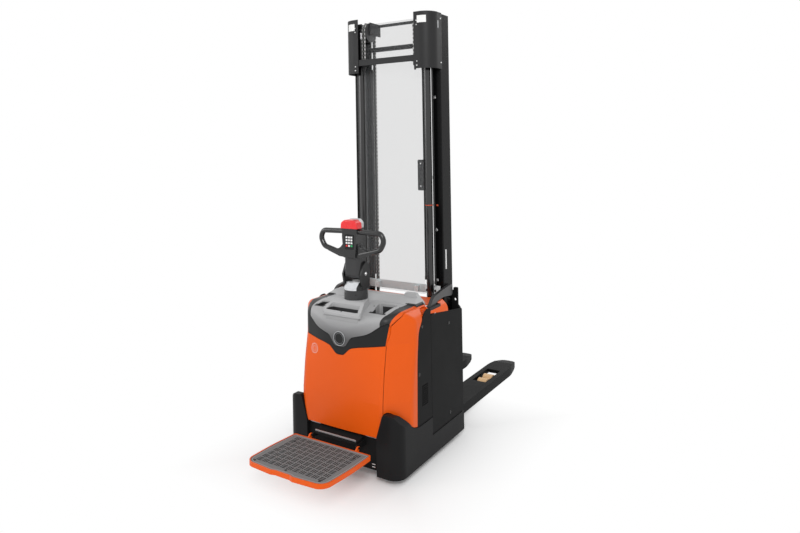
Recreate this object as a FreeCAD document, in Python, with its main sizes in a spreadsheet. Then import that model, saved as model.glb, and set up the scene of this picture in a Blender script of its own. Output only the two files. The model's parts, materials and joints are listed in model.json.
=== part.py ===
import FreeCAD, Part
import math
import os
import re

import MeshPart
import Sketcher
from FreeCAD import Placement, Rotation, Vector

# Ride-on stacker: a pedestrian and stand-on pallet stacker with a fold-down rider
# platform, a tiller, a two-stage lifting mast and a pair of forks that nest over
# the support legs.
# Frame: +Z up, floor at z = 0, +Y towards the fork tips, +X to the rider's right.
# Lengths along the truck are written from the nose, the front face of the wheel
# cowlings; nose_y then places the nose so that the origin is the middle of the
# stored truck's footprint.

SIZES = {
    # whole truck
    "nose_y": -744.0,
    "truck_width": 788.0,
    "belly_height": 30.0,
    "chassis_depth": 761.0,
    "skin": 4.0,
    "seam": 3.0,
    "run_gap": 6.0,
    # wheel cowlings
    "recess_width": 490.0,
    "cowl_height": 376.0,
    "cowl_depth": 340.0,
    "skirt_height": 250.0,
    "sill_height": 147.0,
    # hood and console
    "hood_bottom": 238.0,
    "hood_front": 4.0,
    "corner_low": 7.0,
    "corner_mid": 17.0,
    "corner_high": 57.0,
    "corner_run": 136.0,
    "waist_height": 480.0,
    "front_seam": 729.0,
    "front_half": 279.0,
    "console_half": 335.0,
    "shoulder_height": 800.0,
    "shoulder_round": 40.0,
    "brow_height": 879.0,
    "console_height": 914.0,
    "plateau_height": 943.0,
    "ridge_height": 935.0,
    "tray_floor": 850.0,
    "console_back": 400.0,
    "deck_height": 892.0,
    "hood_back": 576.0,
    # chassis plates
    "plate": 8.0,
    "bulkhead_y": 22.0,
    "drive_deck_height": 272.0,
    # side panels
    "panel_out": 391.0,
    "panel_thick": 6.0,
    "door_front": 366.0,
    "door_top_front": 848.0,
    "door_top_back": 797.0,
    "vent_top": 888.0,
    # battery
    "battery_width": 640.0,
    "battery_depth": 212.0,
    "battery_height": 640.0,
    # wheels
    "drive_wheel_radius": 115.0,
    "drive_wheel_width": 75.0,
    "drive_x": -258.0,
    "drive_y": 172.0,
    "castor_radius": 75.0,
    "castor_width": 50.0,
    "castor_x": 262.0,
    "castor_y": 158.0,
    "castor_trail": 38.0,
    "load_radius": 42.5,
    "load_width": 75.0,
    "load_y": 1522.0,
    "load_spread": 94.0,
    # forks and legs
    "fork_spread": 384.0,
    "fork_width": 185.0,
    "fork_heel": 824.0,
    "fork_length": 1150.0,
    "fork_top": 89.0,
    "fork_wall": 8.0,
    "fork_depth": 63.0,
    "fork_slot_width": 108.0,
    "fork_slot_length": 268.0,
    "leg_width": 154.0,
    "leg_bottom": 32.0,
    "leg_top": 76.0,
    # mast
    "mast_half": 330.0,
    "mast_front": 640.0,
    "mast_back": 757.0,
    "mast_height": 2652.0,
    "rail_web": 12.0,
    "rail_flange": 14.0,
    "rail_reach": 60.0,
    "inner_half": 311.0,
    "inner_reach": 54.0,
    "inner_web": 12.0,
    "inner_flange": 13.0,
    "base_top": 100.0,
    "stroke": 1950.0,
    # lift cylinders and chains
    "jack_x": 251.0,
    "jack_y": 610.0,
    "jack_radius": 22.0,
    "rod_radius": 15.0,
    "jack_top": 2540.0,
    "sheave_x": 195.0,
    "sheave_y": 620.0,
    "sheave_z": 2580.0,
    "sheave_radius": 56.0,
    "chain_width": 22.0,
    "chain_thick": 9.0,
    "anchor_z": 2374.0,
    # mast top covers
    "cover_front": 518.0,
    "cover_inner": 212.0,
    "cover_bottom": 2306.0,
    "cover_bend": 85.0,
    "guard_y": 598.0,
    "guard_half": 220.0,
    "guard_thick": 4.0,
    # tiller
    "tiller_y": 170.0,
    "drum_radius": 70.0,
    "drum_top": 996.0,
    "tilt_z": 1090.0,
    "head_half": 51.0,
    "head_bottom": 1186.0,
    "head_top": 1346.0,
    "loop_half": 226.0,
    "loop_tube": 15.5,
    # platform
    "hinge_y": -58.0,
    "hinge_z": 192.0,
    "platform_rake": 2.5,
    "platform_length": 429.0,
    "platform_back": 268.0,
    "platform_front": 262.0,
    "pan_depth": 32.0,
    "mat_drop": 13.0,
    "mat_thick": 7.0,
}

doc = FreeCAD.newDocument("stacker")
sheet = doc.addObject("Spreadsheet::Sheet", "dims")
for row, (alias, number) in enumerate(SIZES.items(), start=1):
    sheet.set(f"A{row}", str(number))
    sheet.setAlias(f"A{row}", alias)
doc.recompute()

NODES = []


# ---------------------------------------------------------------- helpers

def bound(text):
    """The expression with each size name pointed at its cell."""
    return re.sub(r"[a-z][a-z0-9_]*", lambda m: "dims." + m[0] if m[0] in SIZES else m[0], str(text))


def value(text):
    """The number an expression gives now."""
    return float(sheet.evalExpression(bound(text)))


def place(obj, x="0", y="0", z="0", axis=None, angle=None):
    """Bind an object's position, y counted from the nose, and its turn."""
    if axis is not None:
        obj.Placement = Placement(Vector(0, 0, 0), Rotation(Vector(*axis), 10))
        obj.setExpression("Placement.Rotation.Angle", bound(angle))
    obj.setExpression("Placement.Base.x", bound(x))
    obj.setExpression("Placement.Base.y", bound(f"{y} + nose_y"))
    obj.setExpression("Placement.Base.z", bound(z))
    return obj


def box(name, x, y, z):
    """A block between two limits along each axis."""
    block = doc.addObject("Part::Box", name)
    for prop, (low, high) in (("Length", x), ("Width", y), ("Height", z)):
        block.setExpression(prop, bound(f"({high}) - ({low})"))
    return place(block, x[0], y[0], z[0])


def rod(name, start, radius, length, along="z"):
    """A cylinder from its start point along +X, +Y or +Z."""
    bar = doc.addObject("Part::Cylinder", name)
    bar.setExpression("Radius", bound(radius))
    bar.setExpression("Height", bound(length))
    turn = {"z": (None, None), "x": ((0, 1, 0), "90"), "y": ((-1, 0, 0), "90")}[along]
    return place(bar, *start, axis=turn[0], angle=turn[1])


def trims(corners, radii, closed):
    """How far each rounded corner cuts back the two runs that meet there."""
    count = len(corners)
    cut = [0.0] * count
    for i in range(count):
        if radii[i] and (closed or 0 < i < count - 1):
            come = (corners[i] - corners[i - 1]).normalize()
            leave = (corners[(i + 1) % count] - corners[i]).normalize()
            cut[i] = radii[i] * math.tan(come.getAngle(leave) / 2)
    return cut


def draw(sketch, points, closed=True):
    """Draw an outline with every corner and radius bound to the sheet.

    A point is (u, v) for a sharp corner or (u, v, radius) for a rounded one.
    """
    first = sketch.GeometryCount
    count = len(points)
    corners = [Vector(value(p[0]), value(p[1]), 0) for p in points]
    radii = [value(p[2]) if len(p) > 2 else 0.0 for p in points]
    cut = trims(corners, radii, closed)
    runs = count if closed else count - 1
    rules, bindings = [], []
    for i in range(runs):
        a, b = corners[i], corners[(i + 1) % count]
        step = (b - a).normalize()
        sketch.addGeometry(Part.LineSegment(a + step * cut[i], b - step * cut[(i + 1) % count]))
    for i in range(count):
        into = first + (i - 1) % runs if closed or i > 0 else None
        out = first + i if closed or i < runs else None
        if cut[i]:
            come = (corners[i] - corners[i - 1]).normalize()
            leave = (corners[(i + 1) % count] - corners[i]).normalize()
            left = come.cross(leave).z > 0
            start, end = corners[i] - come * cut[i], corners[i] + leave * cut[i]
            side = Vector(-come.y, come.x, 0) * (1 if left else -1)
            centre = start + side * radii[i]
            low, high = (start, end) if left else (end, start)
            angles = [math.atan2(p.y - centre.y, p.x - centre.x) for p in (low, high)]
            circle = Part.Circle(centre, Vector(0, 0, 1), radii[i])
            arc = sketch.addGeometry(Part.ArcOfCircle(circle, *angles))
            pin = sketch.addGeometry(Part.Point(corners[i]), True)
            rules.append(Sketcher.Constraint("Tangent", into, 2, arc, 1 if left else 2))
            rules.append(Sketcher.Constraint("Tangent", arc, 2 if left else 1, out, 1))
            rules.append(Sketcher.Constraint("PointOnObject", pin, 1, into))
            rules.append(Sketcher.Constraint("PointOnObject", pin, 1, out))
            bindings.append((len(rules), points[i][2]))
            rules.append(Sketcher.Constraint("Radius", arc, radii[i]))
            held, spot = pin, 1
        else:
            if into is not None and out is not None:
                rules.append(Sketcher.Constraint("Coincident", into, 2, out, 1))
            held, spot = (out, 1) if out is not None else (into, 2)
        for kind, number, text in (("DistanceX", corners[i].x, points[i][0]),
                                   ("DistanceY", corners[i].y, points[i][1])):
            bindings.append((len(rules), text))
            rules.append(Sketcher.Constraint(kind, -1, 1, held, spot, number))
    offset = sketch.ConstraintCount
    sketch.addConstraint(rules)
    for index, text in bindings:
        sketch.setExpression(f"Constraints[{offset + index}]", bound(text))


def ring(sketch, u, v, radius):
    """Draw a circle with its centre and radius bound to the sheet."""
    hole = sketch.addGeometry(Part.Circle(Vector(value(u), value(v), 0), Vector(0, 0, 1), value(radius)))
    offset = sketch.ConstraintCount
    sketch.addConstraint([Sketcher.Constraint("DistanceX", -1, 1, hole, 3, value(u)),
                          Sketcher.Constraint("DistanceY", -1, 1, hole, 3, value(v)),
                          Sketcher.Constraint("Radius", hole, value(radius))])
    for index, text in enumerate((u, v, radius)):
        sketch.setExpression(f"Constraints[{offset + index}]", bound(text))


def profile(name, plane, loops, rings=()):
    """A body with one sketch on its own XY, XZ or YZ plane."""
    body = doc.addObject("PartDesign::Body", name)
    sketch = body.newObject("Sketcher::SketchObject", name + "_outline")
    face = [f for f in body.Origin.OriginFeatures if f.Role == plane + "_Plane"][0]
    sketch.AttachmentSupport = [(face, "")]
    sketch.MapMode = "FlatFace"
    doc.recompute()
    for loop in loops:
        draw(sketch, loop)
    for hole in rings:
        ring(sketch, *hole)
    return body, sketch


def slab(name, plane, loops, low, high, rings=(), x="0", y="0", z="0"):
    """A profile padded from low to high along the plane's own axis."""
    body, sketch = profile(name, plane, loops, rings)
    pad = body.newObject("PartDesign::Pad", name + "_pad")
    pad.Profile = sketch
    pad.setExpression("Length", bound(f"({high}) - ({low})"))
    pad.Reversed = plane == "XZ"
    shift = {"XY": (x, y, f"({low}) + ({z})"), "XZ": (x, f"({low}) + ({y})", z), "YZ": (f"({low}) + ({x})", y, z)}
    place(body, *shift[plane])
    return body


def turned(name, plane, axis, loop, x, y, z):
    """A profile revolved a full turn about one of its sketch's own axes."""
    body, sketch = profile(name, plane, [loop])
    turn = body.newObject("PartDesign::Revolution", name + "_turn")
    turn.Profile = sketch
    turn.ReferenceAxis = (sketch, [axis])
    turn.Angle = 360
    return place(body, x, y, z)


def section(name, height, loop):
    """A level outline at a height, as one cross section of a loft."""
    sketch = doc.addObject("Sketcher::SketchObject", name)
    doc.recompute()
    draw(sketch, loop)
    return place(sketch, "0", "0", height)


def loft(name, sections):
    """A solid through level outlines, lowest first, straight from each to the next."""
    form = doc.addObject("Part::Loft", name)
    form.Sections = sections
    form.Solid = True
    form.Ruled = True
    return form


def rounded(name, base, radius, seats):
    """Round the edges whose middles lie nearest to some points, and those that run on from them."""
    doc.recompute()
    middles = [edge.CenterOfMass for edge in base.Shape.Edges]
    picked = set()
    for seat in seats:
        spot = Vector(value(seat[0]), value(f"nose_y + {seat[1]}"), value(seat[2]))
        picked.add(1 + min(range(len(middles)), key=lambda i: (middles[i] - spot).Length))
    fillet = doc.addObject("Part::Fillet", name)
    fillet.Base = base
    fillet.Edges = [(index, value(radius), value(radius)) for index in sorted(picked)]
    return fillet


def soften(body, radius, chosen):
    """Round the edges of a body's last feature that the test picks."""
    doc.recompute()
    tip = body.Tip
    picked = [f"Edge{i}" for i, edge in enumerate(tip.Shape.Edges, start=1) if chosen(edge)]
    fillet = body.newObject("PartDesign::Fillet", body.Name + "_soft")
    fillet.Base = (tip, picked)
    fillet.setExpression("Radius", bound(radius))
    return body


def fuse(name, *parts):
    joined = doc.addObject("Part::MultiFuse", name)
    joined.Shapes = list(parts)
    return joined


def cut(name, base, *tools):
    result = doc.addObject("Part::Cut", name)
    result.Base = base
    result.Tool = tools[0] if len(tools) == 1 else fuse(name + "_tools", *tools)
    return result


def common(name, *parts):
    result = doc.addObject("Part::MultiCommon", name)
    result.Shapes = list(parts)
    return result


def mirror(name, source):
    """The same piece on the other side of the truck."""
    image = doc.addObject("Part::Mirroring", name)
    image.Source = source
    image.Normal = Vector(1, 0, 0)
    return image


def group(name, *parts):
    """Like pieces that don't touch, kept together."""
    several = doc.addObject("Part::Compound", name)
    several.Links = list(parts)
    return several


def path(name, plane, points, x="0", y="0", z="0"):
    """An open line on a plane through the given point, for a tube to follow."""
    sketch = doc.addObject("Sketcher::SketchObject", name)
    doc.recompute()
    draw(sketch, points, closed=False)
    turn = {"XZ": ((1, 0, 0), "90"), "YZ": ((1, 1, 1), "120")}[plane]
    return place(sketch, x, y, z, axis=turn[0], angle=turn[1])


def tube(name, spine, radius):
    """A round bar along a spine that starts along +X, -X or +Z."""
    doc.recompute()
    wire = spine.Shape.Wires[0]
    start = wire.OrderedEdges[0]
    at = start.firstVertex(True).Point
    heading = start.tangentAt(start.FirstParameter)
    if start.Orientation == "Reversed":
        heading = start.tangentAt(start.LastParameter) * -1
    section = doc.addObject("Part::Circle", name + "_section")
    section.setExpression("Radius", bound(radius))
    section.Placement = Placement(at, Rotation(Vector(0, 0, 1), heading))
    sweep = doc.addObject("Part::Sweep", name)
    sweep.Sections = [section]
    sweep.Spine = (spine, [f"Edge{i}" for i in range(1, len(spine.Shape.Edges) + 1)])
    sweep.Solid = True
    return sweep


def node(label, piece):
    """Name a finished piece; its label is the name of its file."""
    piece.Label = label
    NODES.append(piece)
    return piece


def both(label, right):
    """A right-hand piece and its mirror image in one node, as two solids that don't touch."""
    return node(label, group(label + "_pair", right, mirror(label + "_mirrored", right)))


def pair(name, make):
    """A right-hand piece and its mirror image on the left."""
    right = node(name + "_right", make)
    left = node(name + "_left", mirror(name + "_mirrored", right))
    return right, left


# ---------------------------------------------------------------- outer forms

def hood_section(name, wall, height, corner, nose, crown):
    """Plan outline of the hood at one height: a flat nose with slanted corners."""
    return section(name, height, [
        (f"-panel_out + {wall}", "hood_back + 1"),
        (f"-panel_out + {wall}", f"{corner} + corner_run", "50"),
        ("-front_half", f"{corner} + {wall}", "60"),
        ("0", f"{nose} + {wall}", crown),
        ("front_half", f"{corner} + {wall}", "60"),
        (f"panel_out - {wall}", f"{corner} + corner_run", "50"),
        (f"panel_out - {wall}", "hood_back + 1")])


def hood_form(name, wall, round_shoulder=True):
    """Solid outer form of the hood and console, drawn in by a wall."""
    side = slab(name + "_side", "YZ", [[
        (f"hood_front - 4 + {wall}", "hood_bottom"),
        (f"hood_front - 4 + {wall}", f"shoulder_height", "120"),
        (f"hood_front + 38 + {wall}", f"brow_height - {wall}", "60"),
        (f"215", f"console_height - {wall}", "700"),
        (f"console_back - 3 - {wall}", f"deck_height + 6 - {wall}"),
        (f"console_back - {wall}", f"deck_height - {wall}"),
        (f"hood_back", f"deck_height - {wall}"),
        (f"hood_back", "hood_bottom"),
    ]], "-truck_width / 2", "truck_width / 2")
    front = slab(name + "_front", "XZ", [[
        (f"panel_out - {wall}", "hood_bottom - 1"),
        (f"panel_out - {wall}", f"console_height - 60 - {wall}", "60"),
        (f"console_half + 2", f"console_height - 13 - {wall}", "60"),
        (f"0", f"console_height + 4 - {wall}", "1500"),
        (f"-console_half - 2", f"console_height - 13 - {wall}", "60"),
        (f"-panel_out + {wall}", f"console_height - 60 - {wall}", "60"),
        (f"-panel_out + {wall}", "hood_bottom - 1"),
    ]], "0", "hood_back + 5")
    plan = loft(name + "_plan", [
        hood_section(name + "_foot_plan", wall, "hood_bottom - 2", "corner_low", "0", "4000"),
        hood_section(name + "_waist_plan", wall, "waist_height - 60", "corner_mid - 6", "-4", "4000"),
        hood_section(name + "_middle_plan", wall, "waist_height + 90", "corner_mid + 11", "-14", "1500"),
        hood_section(name + "_chest_plan", wall, "front_seam", "corner_high", "-28", "680"),
        hood_section(name + "_top_plan", wall, "console_height + 20", "corner_high + 3", "-27", "680")])
    form = common(name + "_sharp", side, front, plan)
    crown = [(f"{side} * {x}", y, f"{z} - {wall}") for side in (-1, 1)
             for x, y, z in (("308", "corner_high + 38", "console_height - 24"),
                             ("346", "corner_high + 84", "console_height - 22"))]
    return rounded(name, form, f"shoulder_round - {wall}", crown) if round_shoulder else form


# ---------------------------------------------------------------- wheel cowlings

def cowl_form(name, wall, inside, foot):
    """Solid form of the right cowling, drawn in by a wall (or grown by a negative one)."""
    front = slab(name + "_front", "XZ", [[
        (inside, foot),
        (inside, "hood_bottom", "40"),
        (f"{inside} + 43", f"cowl_height - {wall}", "20"),
        (f"recess_width / 2 + 110 - {wall}", f"cowl_height - 4 - {wall}", "30"),
        (f"truck_width / 2 - {wall}", f"cowl_height - 60 - {wall}", "50"),
        (f"truck_width / 2 - {wall}", foot),
    ]], f"0 + {wall}", "chassis_depth + 10")
    side = slab(name + "_side", "YZ", [[
        (f"0 + {wall}", foot),
        (f"0 + {wall}", f"cowl_height - {wall}"),
        ("45", f"cowl_height - {wall}", "60"),
        ("150", f"skirt_height + 18 - {wall}", "90"),
        ("215", f"skirt_height - {wall}", "60"),
        (f"door_front - 4 - {wall}", f"skirt_height - {wall}"),
        (f"door_front - 4 - {wall}", f"sill_height - {wall}"),
        (f"chassis_depth - {wall} * 0.1", f"sill_height - {wall}"),
        (f"chassis_depth - {wall} * 0.1", foot),
    ]], "0", "truck_width / 2 + 10")
    plan = slab(name + "_plan", "XY", [[
        (f"{inside} - 5", f"0 + {wall}"),
        (f"truck_width / 2 - {wall}", f"0 + {wall}", f"70 - {wall}"),
        (f"truck_width / 2 - {wall}", "chassis_depth + 5"),
        (f"{inside} - 5", "chassis_depth + 5"),
    ]], "-20", "cowl_height + 20")
    return common(name, front, side, plan)


def cowling():
    """Moulded hump over the corner wheel, running back as a low skirt."""
    outer = cowl_form("cowl_outer", "0", "recess_width / 2", "belly_height")
    hollow = cowl_form("cowl_hollow", "skin", "recess_width / 2 + skin", "belly_height - 20")
    open_side = common("cowl_open_side", cowl_form("cowl_wide_hollow", "skin", "recess_width / 2 - 20", "belly_height - 20"),
                       box("cowl_behind_bulkhead", ("0", "truck_width"), ("bulkhead_y", "chassis_depth + 20"),
                           ("0", "cowl_height")))
    open_back = box("cowl_open_back", ("recess_width / 2 - 20", "panel_out - panel_thick"),
                    ("cowl_depth", "chassis_depth + 10"), ("0", "cowl_height"))
    return cut("cowl", outer, hollow, open_side, open_back, hood_form("cowl_under_hood", "skin"))


pair("cowling", cowling())


# ---------------------------------------------------------------- chassis plates

PANEL_IN = "(panel_out - panel_thick)"
node("front_bulkhead", box("bulkhead_plate", ("-truck_width / 2 + 44", "truck_width / 2 - 44"),
                           ("bulkhead_y", "bulkhead_y + plate"), ("belly_height + 20", "drive_deck_height")))

deck_plate = slab("deck_plate", "XY", [[
    ("-truck_width / 2 + 44", "bulkhead_y"),
    ("truck_width / 2 - 44", "bulkhead_y"),
    ("truck_width / 2 - 44", "cowl_depth"),
    ("-truck_width / 2 + 44", "cowl_depth"),
]], "drive_deck_height", "drive_deck_height + plate", rings=[("drive_x", "drive_y", "66")])

node("mid_bulkhead", box("mid_plate", ("-" + PANEL_IN, PANEL_IN),
                         ("cowl_depth", "cowl_depth + plate"), ("belly_height + 20", "780")))

node("battery_floor", box("battery_plate", ("-" + PANEL_IN, PANEL_IN),
                          ("cowl_depth + plate", "mast_front - 40"), ("leg_top", "leg_top + plate * 2")))

node("battery", box("battery_block", ("-battery_width / 2", "battery_width / 2"),
                    ("cowl_depth + plate + 12", "cowl_depth + plate + 12 + battery_depth"),
                    ("leg_top + plate * 2", "leg_top + plate * 2 + battery_height")))

node("mast_base", box("mast_base_beam", ("-" + PANEL_IN, PANEL_IN),
                      ("mast_front - 40", "mast_back"), ("leg_top", "base_top")))


# ---------------------------------------------------------------- hood skins

hood_outer = hood_form("hood_outer", "0")
hood_inner = hood_form("hood_inner", "skin")
hood_skin = cut("hood_skin", hood_outer, hood_inner)

# The seam between the orange front and the console dips to a tongue in the middle.
SEAM_RIGHT = [("25", "front_seam - 73", "34"), ("72", "front_seam - 30", "44"), ("124", "front_seam - 19", "90"),
              ("front_half", "front_seam")]
SEAM_LEFT = [("-" + p[0],) + tuple(p[1:]) for p in reversed(SEAM_RIGHT)]

front_region = slab("front_region", "XZ", [
    [("-front_half", "hood_bottom"), ("front_half", "hood_bottom")] + list(reversed(SEAM_RIGHT)) + list(reversed(SEAM_LEFT))
], "-40", "200")
right_clear = cowl_form("cowl_clear", "-seam", "recess_width / 2 - seam", "0")
left_clear = mirror("cowl_clear_left", right_clear)
node("front_panel", cut("front_cut", common("front_skin", hood_skin, front_region), right_clear, left_clear))


def raised(points, lift):
    return [(p[0], f"{p[1]} + {lift}") + tuple(p[2:]) for p in points]


BAND_TOP = [("0", "front_seam - 29", "30"), ("36", "front_seam - 27", "30"), ("76", "front_seam + 29", "36"),
            ("180", "front_seam + 56", "160"), ("248", "front_seam + 104", "60"), ("front_half + 10", "front_seam + 122", "7"),
            ("front_half + 15", "front_seam + 106")]
band_region = slab("band_region", "XZ", [
    list(raised(SEAM_LEFT, "seam")) + list(raised(SEAM_RIGHT, "seam")) + [("front_half + 15", "front_seam + seam + 60")]
    + list(reversed(BAND_TOP)) + [("-" + p[0].replace("front_half +", "front_half -"),) + tuple(p[1:]) for p in BAND_TOP[1:]]
    + [("-front_half - 15", "front_seam + seam + 60")]], "-40", "200")
node("console_band", common("band_skin", hood_skin, band_region))

console_region = slab("console_region", "XZ", [
    [("-console_half", "console_height + 30"), ("-console_half", "console_height - 30"),
     ("-front_half - 15 - seam", "front_seam + 106 + seam")]
    + [("-" + p[0].replace("front_half +", "front_half -"), p[1] + " + seam") + tuple(p[2:])
       for p in reversed(BAND_TOP[1:-1])]
    + [(p[0], p[1] + " + seam") + tuple(p[2:]) for p in BAND_TOP[:-1]]
    + [("front_half + 15 + seam", "front_seam + 106 + seam"),
       ("console_half", "console_height - 30"), ("console_half", "console_height + 30")]
], "-40", "console_back")
console_skin = common("console_skin", hood_skin, console_region)
console_block = common("console_block", hood_outer, fuse(
    "console_core",
    box("console_slab", ("-console_half + 20", "console_half - 20"), ("hood_front + 64", "console_back - 1"),
        ("console_height - 56", "console_height + 20")),
    box("console_well", ("-255", "255"), ("hood_front + 80", "console_back - 90"),
        ("tray_floor - 14", "console_height - 50"))))


frame_skin = cut("frame_skin", hood_form("frame_outer", "skin + 0.3"),
                 hood_form("frame_inner", "skin + 12", round_shoulder=False))
frame_posts = slab("frame_posts", "XZ", [
    [(f"{side} * 281 - 16", "drive_deck_height + plate"), (f"{side} * 281 + 16", "drive_deck_height + plate"),
     (f"{side} * 281 + 16", "console_height - 56"), (f"{side} * 281 - 16", "console_height - 56")]
    for side in (-1, 1)], "0", "130")
frame_strip = slab("frame_strip", "XZ", [
    list(reversed(raised(SEAM_LEFT, "-16"))) [::-1] + raised(SEAM_RIGHT, "-16") + list(reversed(raised(SEAM_RIGHT, "20")))
    + list(reversed(raised(SEAM_LEFT, "20")))], "0", "130")
node("hood_frame", common("hood_ladder", frame_skin, fuse("frame_region", frame_posts, frame_strip)))


# Raised plateau that carries the tiller and dips to a bin with a lip at the front.
plateau = common(
    "plateau",
    slab("plateau_plan", "XY", [[("-139", "13", "20"), ("139", "13", "20"), ("76", "205", "36"), ("-76", "205", "36")]],
         "brow_height - 20", "plateau_height + 5"),
    slab("plateau_side", "YZ", [[
        ("13", "brow_height - 10", "3"), ("13", "brow_height + 9", "7"), ("98", "plateau_height", "30"),
        ("206", "plateau_height", "6"), ("206", "console_height - 30"), ("60", "brow_height - 20")]], "-140", "140"))
bin_front = slab("bin_front", "XY", [[("-121", "22", "12"), ("121", "22", "12"), ("112", "110"), ("-112", "110")]],
                 "tray_floor - 12", "brow_height")

# Ridge along the back, with a raised catch at its right end.
ridge = common(
    "ridge",
    slab("ridge_face", "XZ", [[
        ("-325", "console_height - 40"), ("-325", "console_height - 12"), ("-285", "ridge_height", "30"),
        ("200", "ridge_height", "4"), ("216", "ridge_height + 22", "6"), ("283", "ridge_height + 22", "14"),
        ("console_half - 3", "console_height - 10"), ("console_half - 3", "console_height - 40")]],
        "290", "console_back - 1"),
    slab("ridge_side", "YZ", [[
        ("300", "console_height - 8"), ("344", "ridge_height", "14"), ("366", "ridge_height + 2"),
        ("372", "ridge_height + 22", "6"), ("console_back - 2", "ridge_height + 22", "3"),
        ("console_back - 2", "console_height - 40"), ("300", "console_height - 40")]],
        "-console_half", "console_half"))
console_solid = fuse("console_solid", console_skin, console_block, bin_front, plateau, ridge)
drum_pocket = rod("drum_pocket", ("0", "tiller_y", "plateau_height - 7"), "drum_radius + 0.5", "60")
front_tray = slab("front_tray", "XY", [[
    ("-110", "27", "10"), ("110", "27", "10"), ("100", "74", "10"), ("-100", "74", "10")]],
    "tray_floor", "plateau_height + 20")
right_tray = slab("right_tray", "XY", [[
    ("161", "98", "8"), ("236", "106", "8"), ("242", "252", "10"), ("118", "238", "10")]],
    "tray_floor", "plateau_height + 20")
left_tray = slab("left_tray", "XY", [[
    ("-240", "163", "12"), ("-182", "165", "12"), ("-192", "92", "14"), ("-238", "94", "14")]],
    "tray_floor + 18", "plateau_height + 20")
node("console", cut("console_cut", console_solid, drum_pocket, front_tray, right_tray, left_tray))


def hood_side():
    """Orange flank: the rounded front corner, the shoulder and the strip beside the mast."""
    shape = slab("flank_region_side", "YZ", [[
        ("-20", "hood_bottom - 5"),
        ("196", "hood_bottom - 5"),
        ("207", "620", "900"),
        ("224", "780", "120"),
        ("300", "vent_top + 3", "40"),
        ("door_front", "vent_top + 3"),
        ("door_front + 4", "door_top_front + seam"),
        ("hood_back + 3", "door_top_front + seam - 30"),
        ("hood_back + 3", "console_height + 30"),
        ("-20", "console_height + 30"),
    ]], "0", "panel_out + 5")
    front = slab("flank_region_front", "XZ", [[
        ("front_half + seam", "hood_bottom - 5"), ("front_half + seam", "front_seam + seam"),
        ("front_half + 15 + seam", "front_seam + 60"), ("front_half + 15 + seam * 2", "front_seam + 106"),
        ("console_half + seam", "console_height - 32"),
        ("console_half + seam", "console_height + 30"), ("panel_out + 5", "console_height + 30"),
        ("panel_out + 5", "hood_bottom - 5")]], "-20", "hood_back + 5")
    foot_gap = box("foot_gap", ("console_half", "panel_out - 12"),
                   ("cowl_depth + plate + 28", "cowl_depth + plate + 160"), ("deck_height - 50", "console_height"))
    return cut("flank", common("flank_skin", hood_skin, shape, front), right_clear, foot_gap)


pair("hood_side", hood_side())

node("rear_deck", box("rear_deck_plate", ("-console_half - 4", "console_half + 4"),
                      ("console_back + seam", "hood_back"), ("deck_height - skin * 2", "deck_height - skin")))


# ---------------------------------------------------------------- side panels

def vent_panel():
    """Narrow panel between the hood and the battery door, with a louvred grille."""
    plate = slab("vent_plate", "YZ", [[
        ("199", "skirt_height + seam"),
        ("210", "620", "900"),
        ("227", "780", "120"),
        ("303", "vent_top", "60"),
        ("door_front - seam", "vent_top", "16"),
        ("door_front - seam", "skirt_height + seam"),
    ]], "panel_out - panel_thick", "panel_out")
    slots = [box(f"vent_slot_{i}", ("panel_out - 20", "panel_out + 5"), ("252", "320"),
                 (f"352 + {i} * 12", f"352 + {i} * 12 + 6")) for i in range(10)]
    return cut("vent", plate, right_clear, *slots)


both("vent_panels", vent_panel())


def battery_door():
    return slab("door_plate", "YZ", [[
        ("door_front", "sill_height + seam", "10"),
        ("door_front", "door_top_front", "14"),
        ("chassis_depth", "door_top_back", "14"),
        ("chassis_depth", "sill_height + seam", "10"),
    ]], "panel_out - panel_thick", "panel_out")


both("battery_doors", battery_door())


def mast_bracket():
    """Rear corner plate between the mast rail and the side, with a lifting eye and an upright tab."""
    return slab("bracket_plate", "XZ", [[
        ("mast_half", "base_top"), ("panel_out - panel_thick", "base_top"),
        ("panel_out - panel_thick", "door_top_back + 6", "8"), ("mast_half + 40", "door_top_back + 22", "6"),
        ("mast_half + 40", "926", "6"), ("mast_half + 12", "926", "6"), ("mast_half + 10", "906"),
        ("mast_half", "906")]],
        "mast_back - 14", "mast_back", rings=[("mast_half + 22", "850", "9")])


both("mast_brackets", mast_bracket())


def grab_handle():
    """Bent flat arm that rises behind the hood and runs back to the outer side of the mast rail."""
    arm = slab("grab_arm", "YZ", [[
        ("0", "-130"), ("62", "-130"), ("63", "-12", "30"), ("150", "23", "60"), ("238", "30", "80"), ("344", "16"),
        ("364", "24", "8"), ("364", "87", "14"), ("212", "74", "200"), ("99", "57", "60"), ("35", "-6", "40"),
        ("35", "-108"), ("0", "-108")]], "-11", "11")
    place(arm, "panel_out - panel_thick - 35", "cowl_depth + plate", "870", axis=(0, 0, 1), angle="3.149")
    return arm


both("grab_handles", grab_handle())

node("step_ledge", slab("ledge", "YZ", [[
    ("-50", "198", "5"), ("-46", "212", "5"), ("bulkhead_y", "226"), ("bulkhead_y", "200"), ("-20", "196", "8")]],
    "-146", "146"))


# ---------------------------------------------------------------- mast, fixed stage

def outer_rail():
    """Channel rail of the fixed stage, open towards the middle."""
    return slab("outer_channel", "XY", [[
        ("mast_half", "mast_front", "6"), ("mast_half", "mast_back", "6"),
        ("mast_half - rail_reach", "mast_back"), ("mast_half - rail_reach", "mast_back - rail_flange", "4"),
        ("mast_half - rail_web", "mast_back - rail_flange", "8"), ("mast_half - rail_web", "mast_front + rail_flange", "8"),
        ("mast_half - rail_reach", "mast_front + rail_flange", "4"), ("mast_half - rail_reach", "mast_front")]],
        "base_top", "mast_height")


pair("outer_rail", outer_rail())


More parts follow.
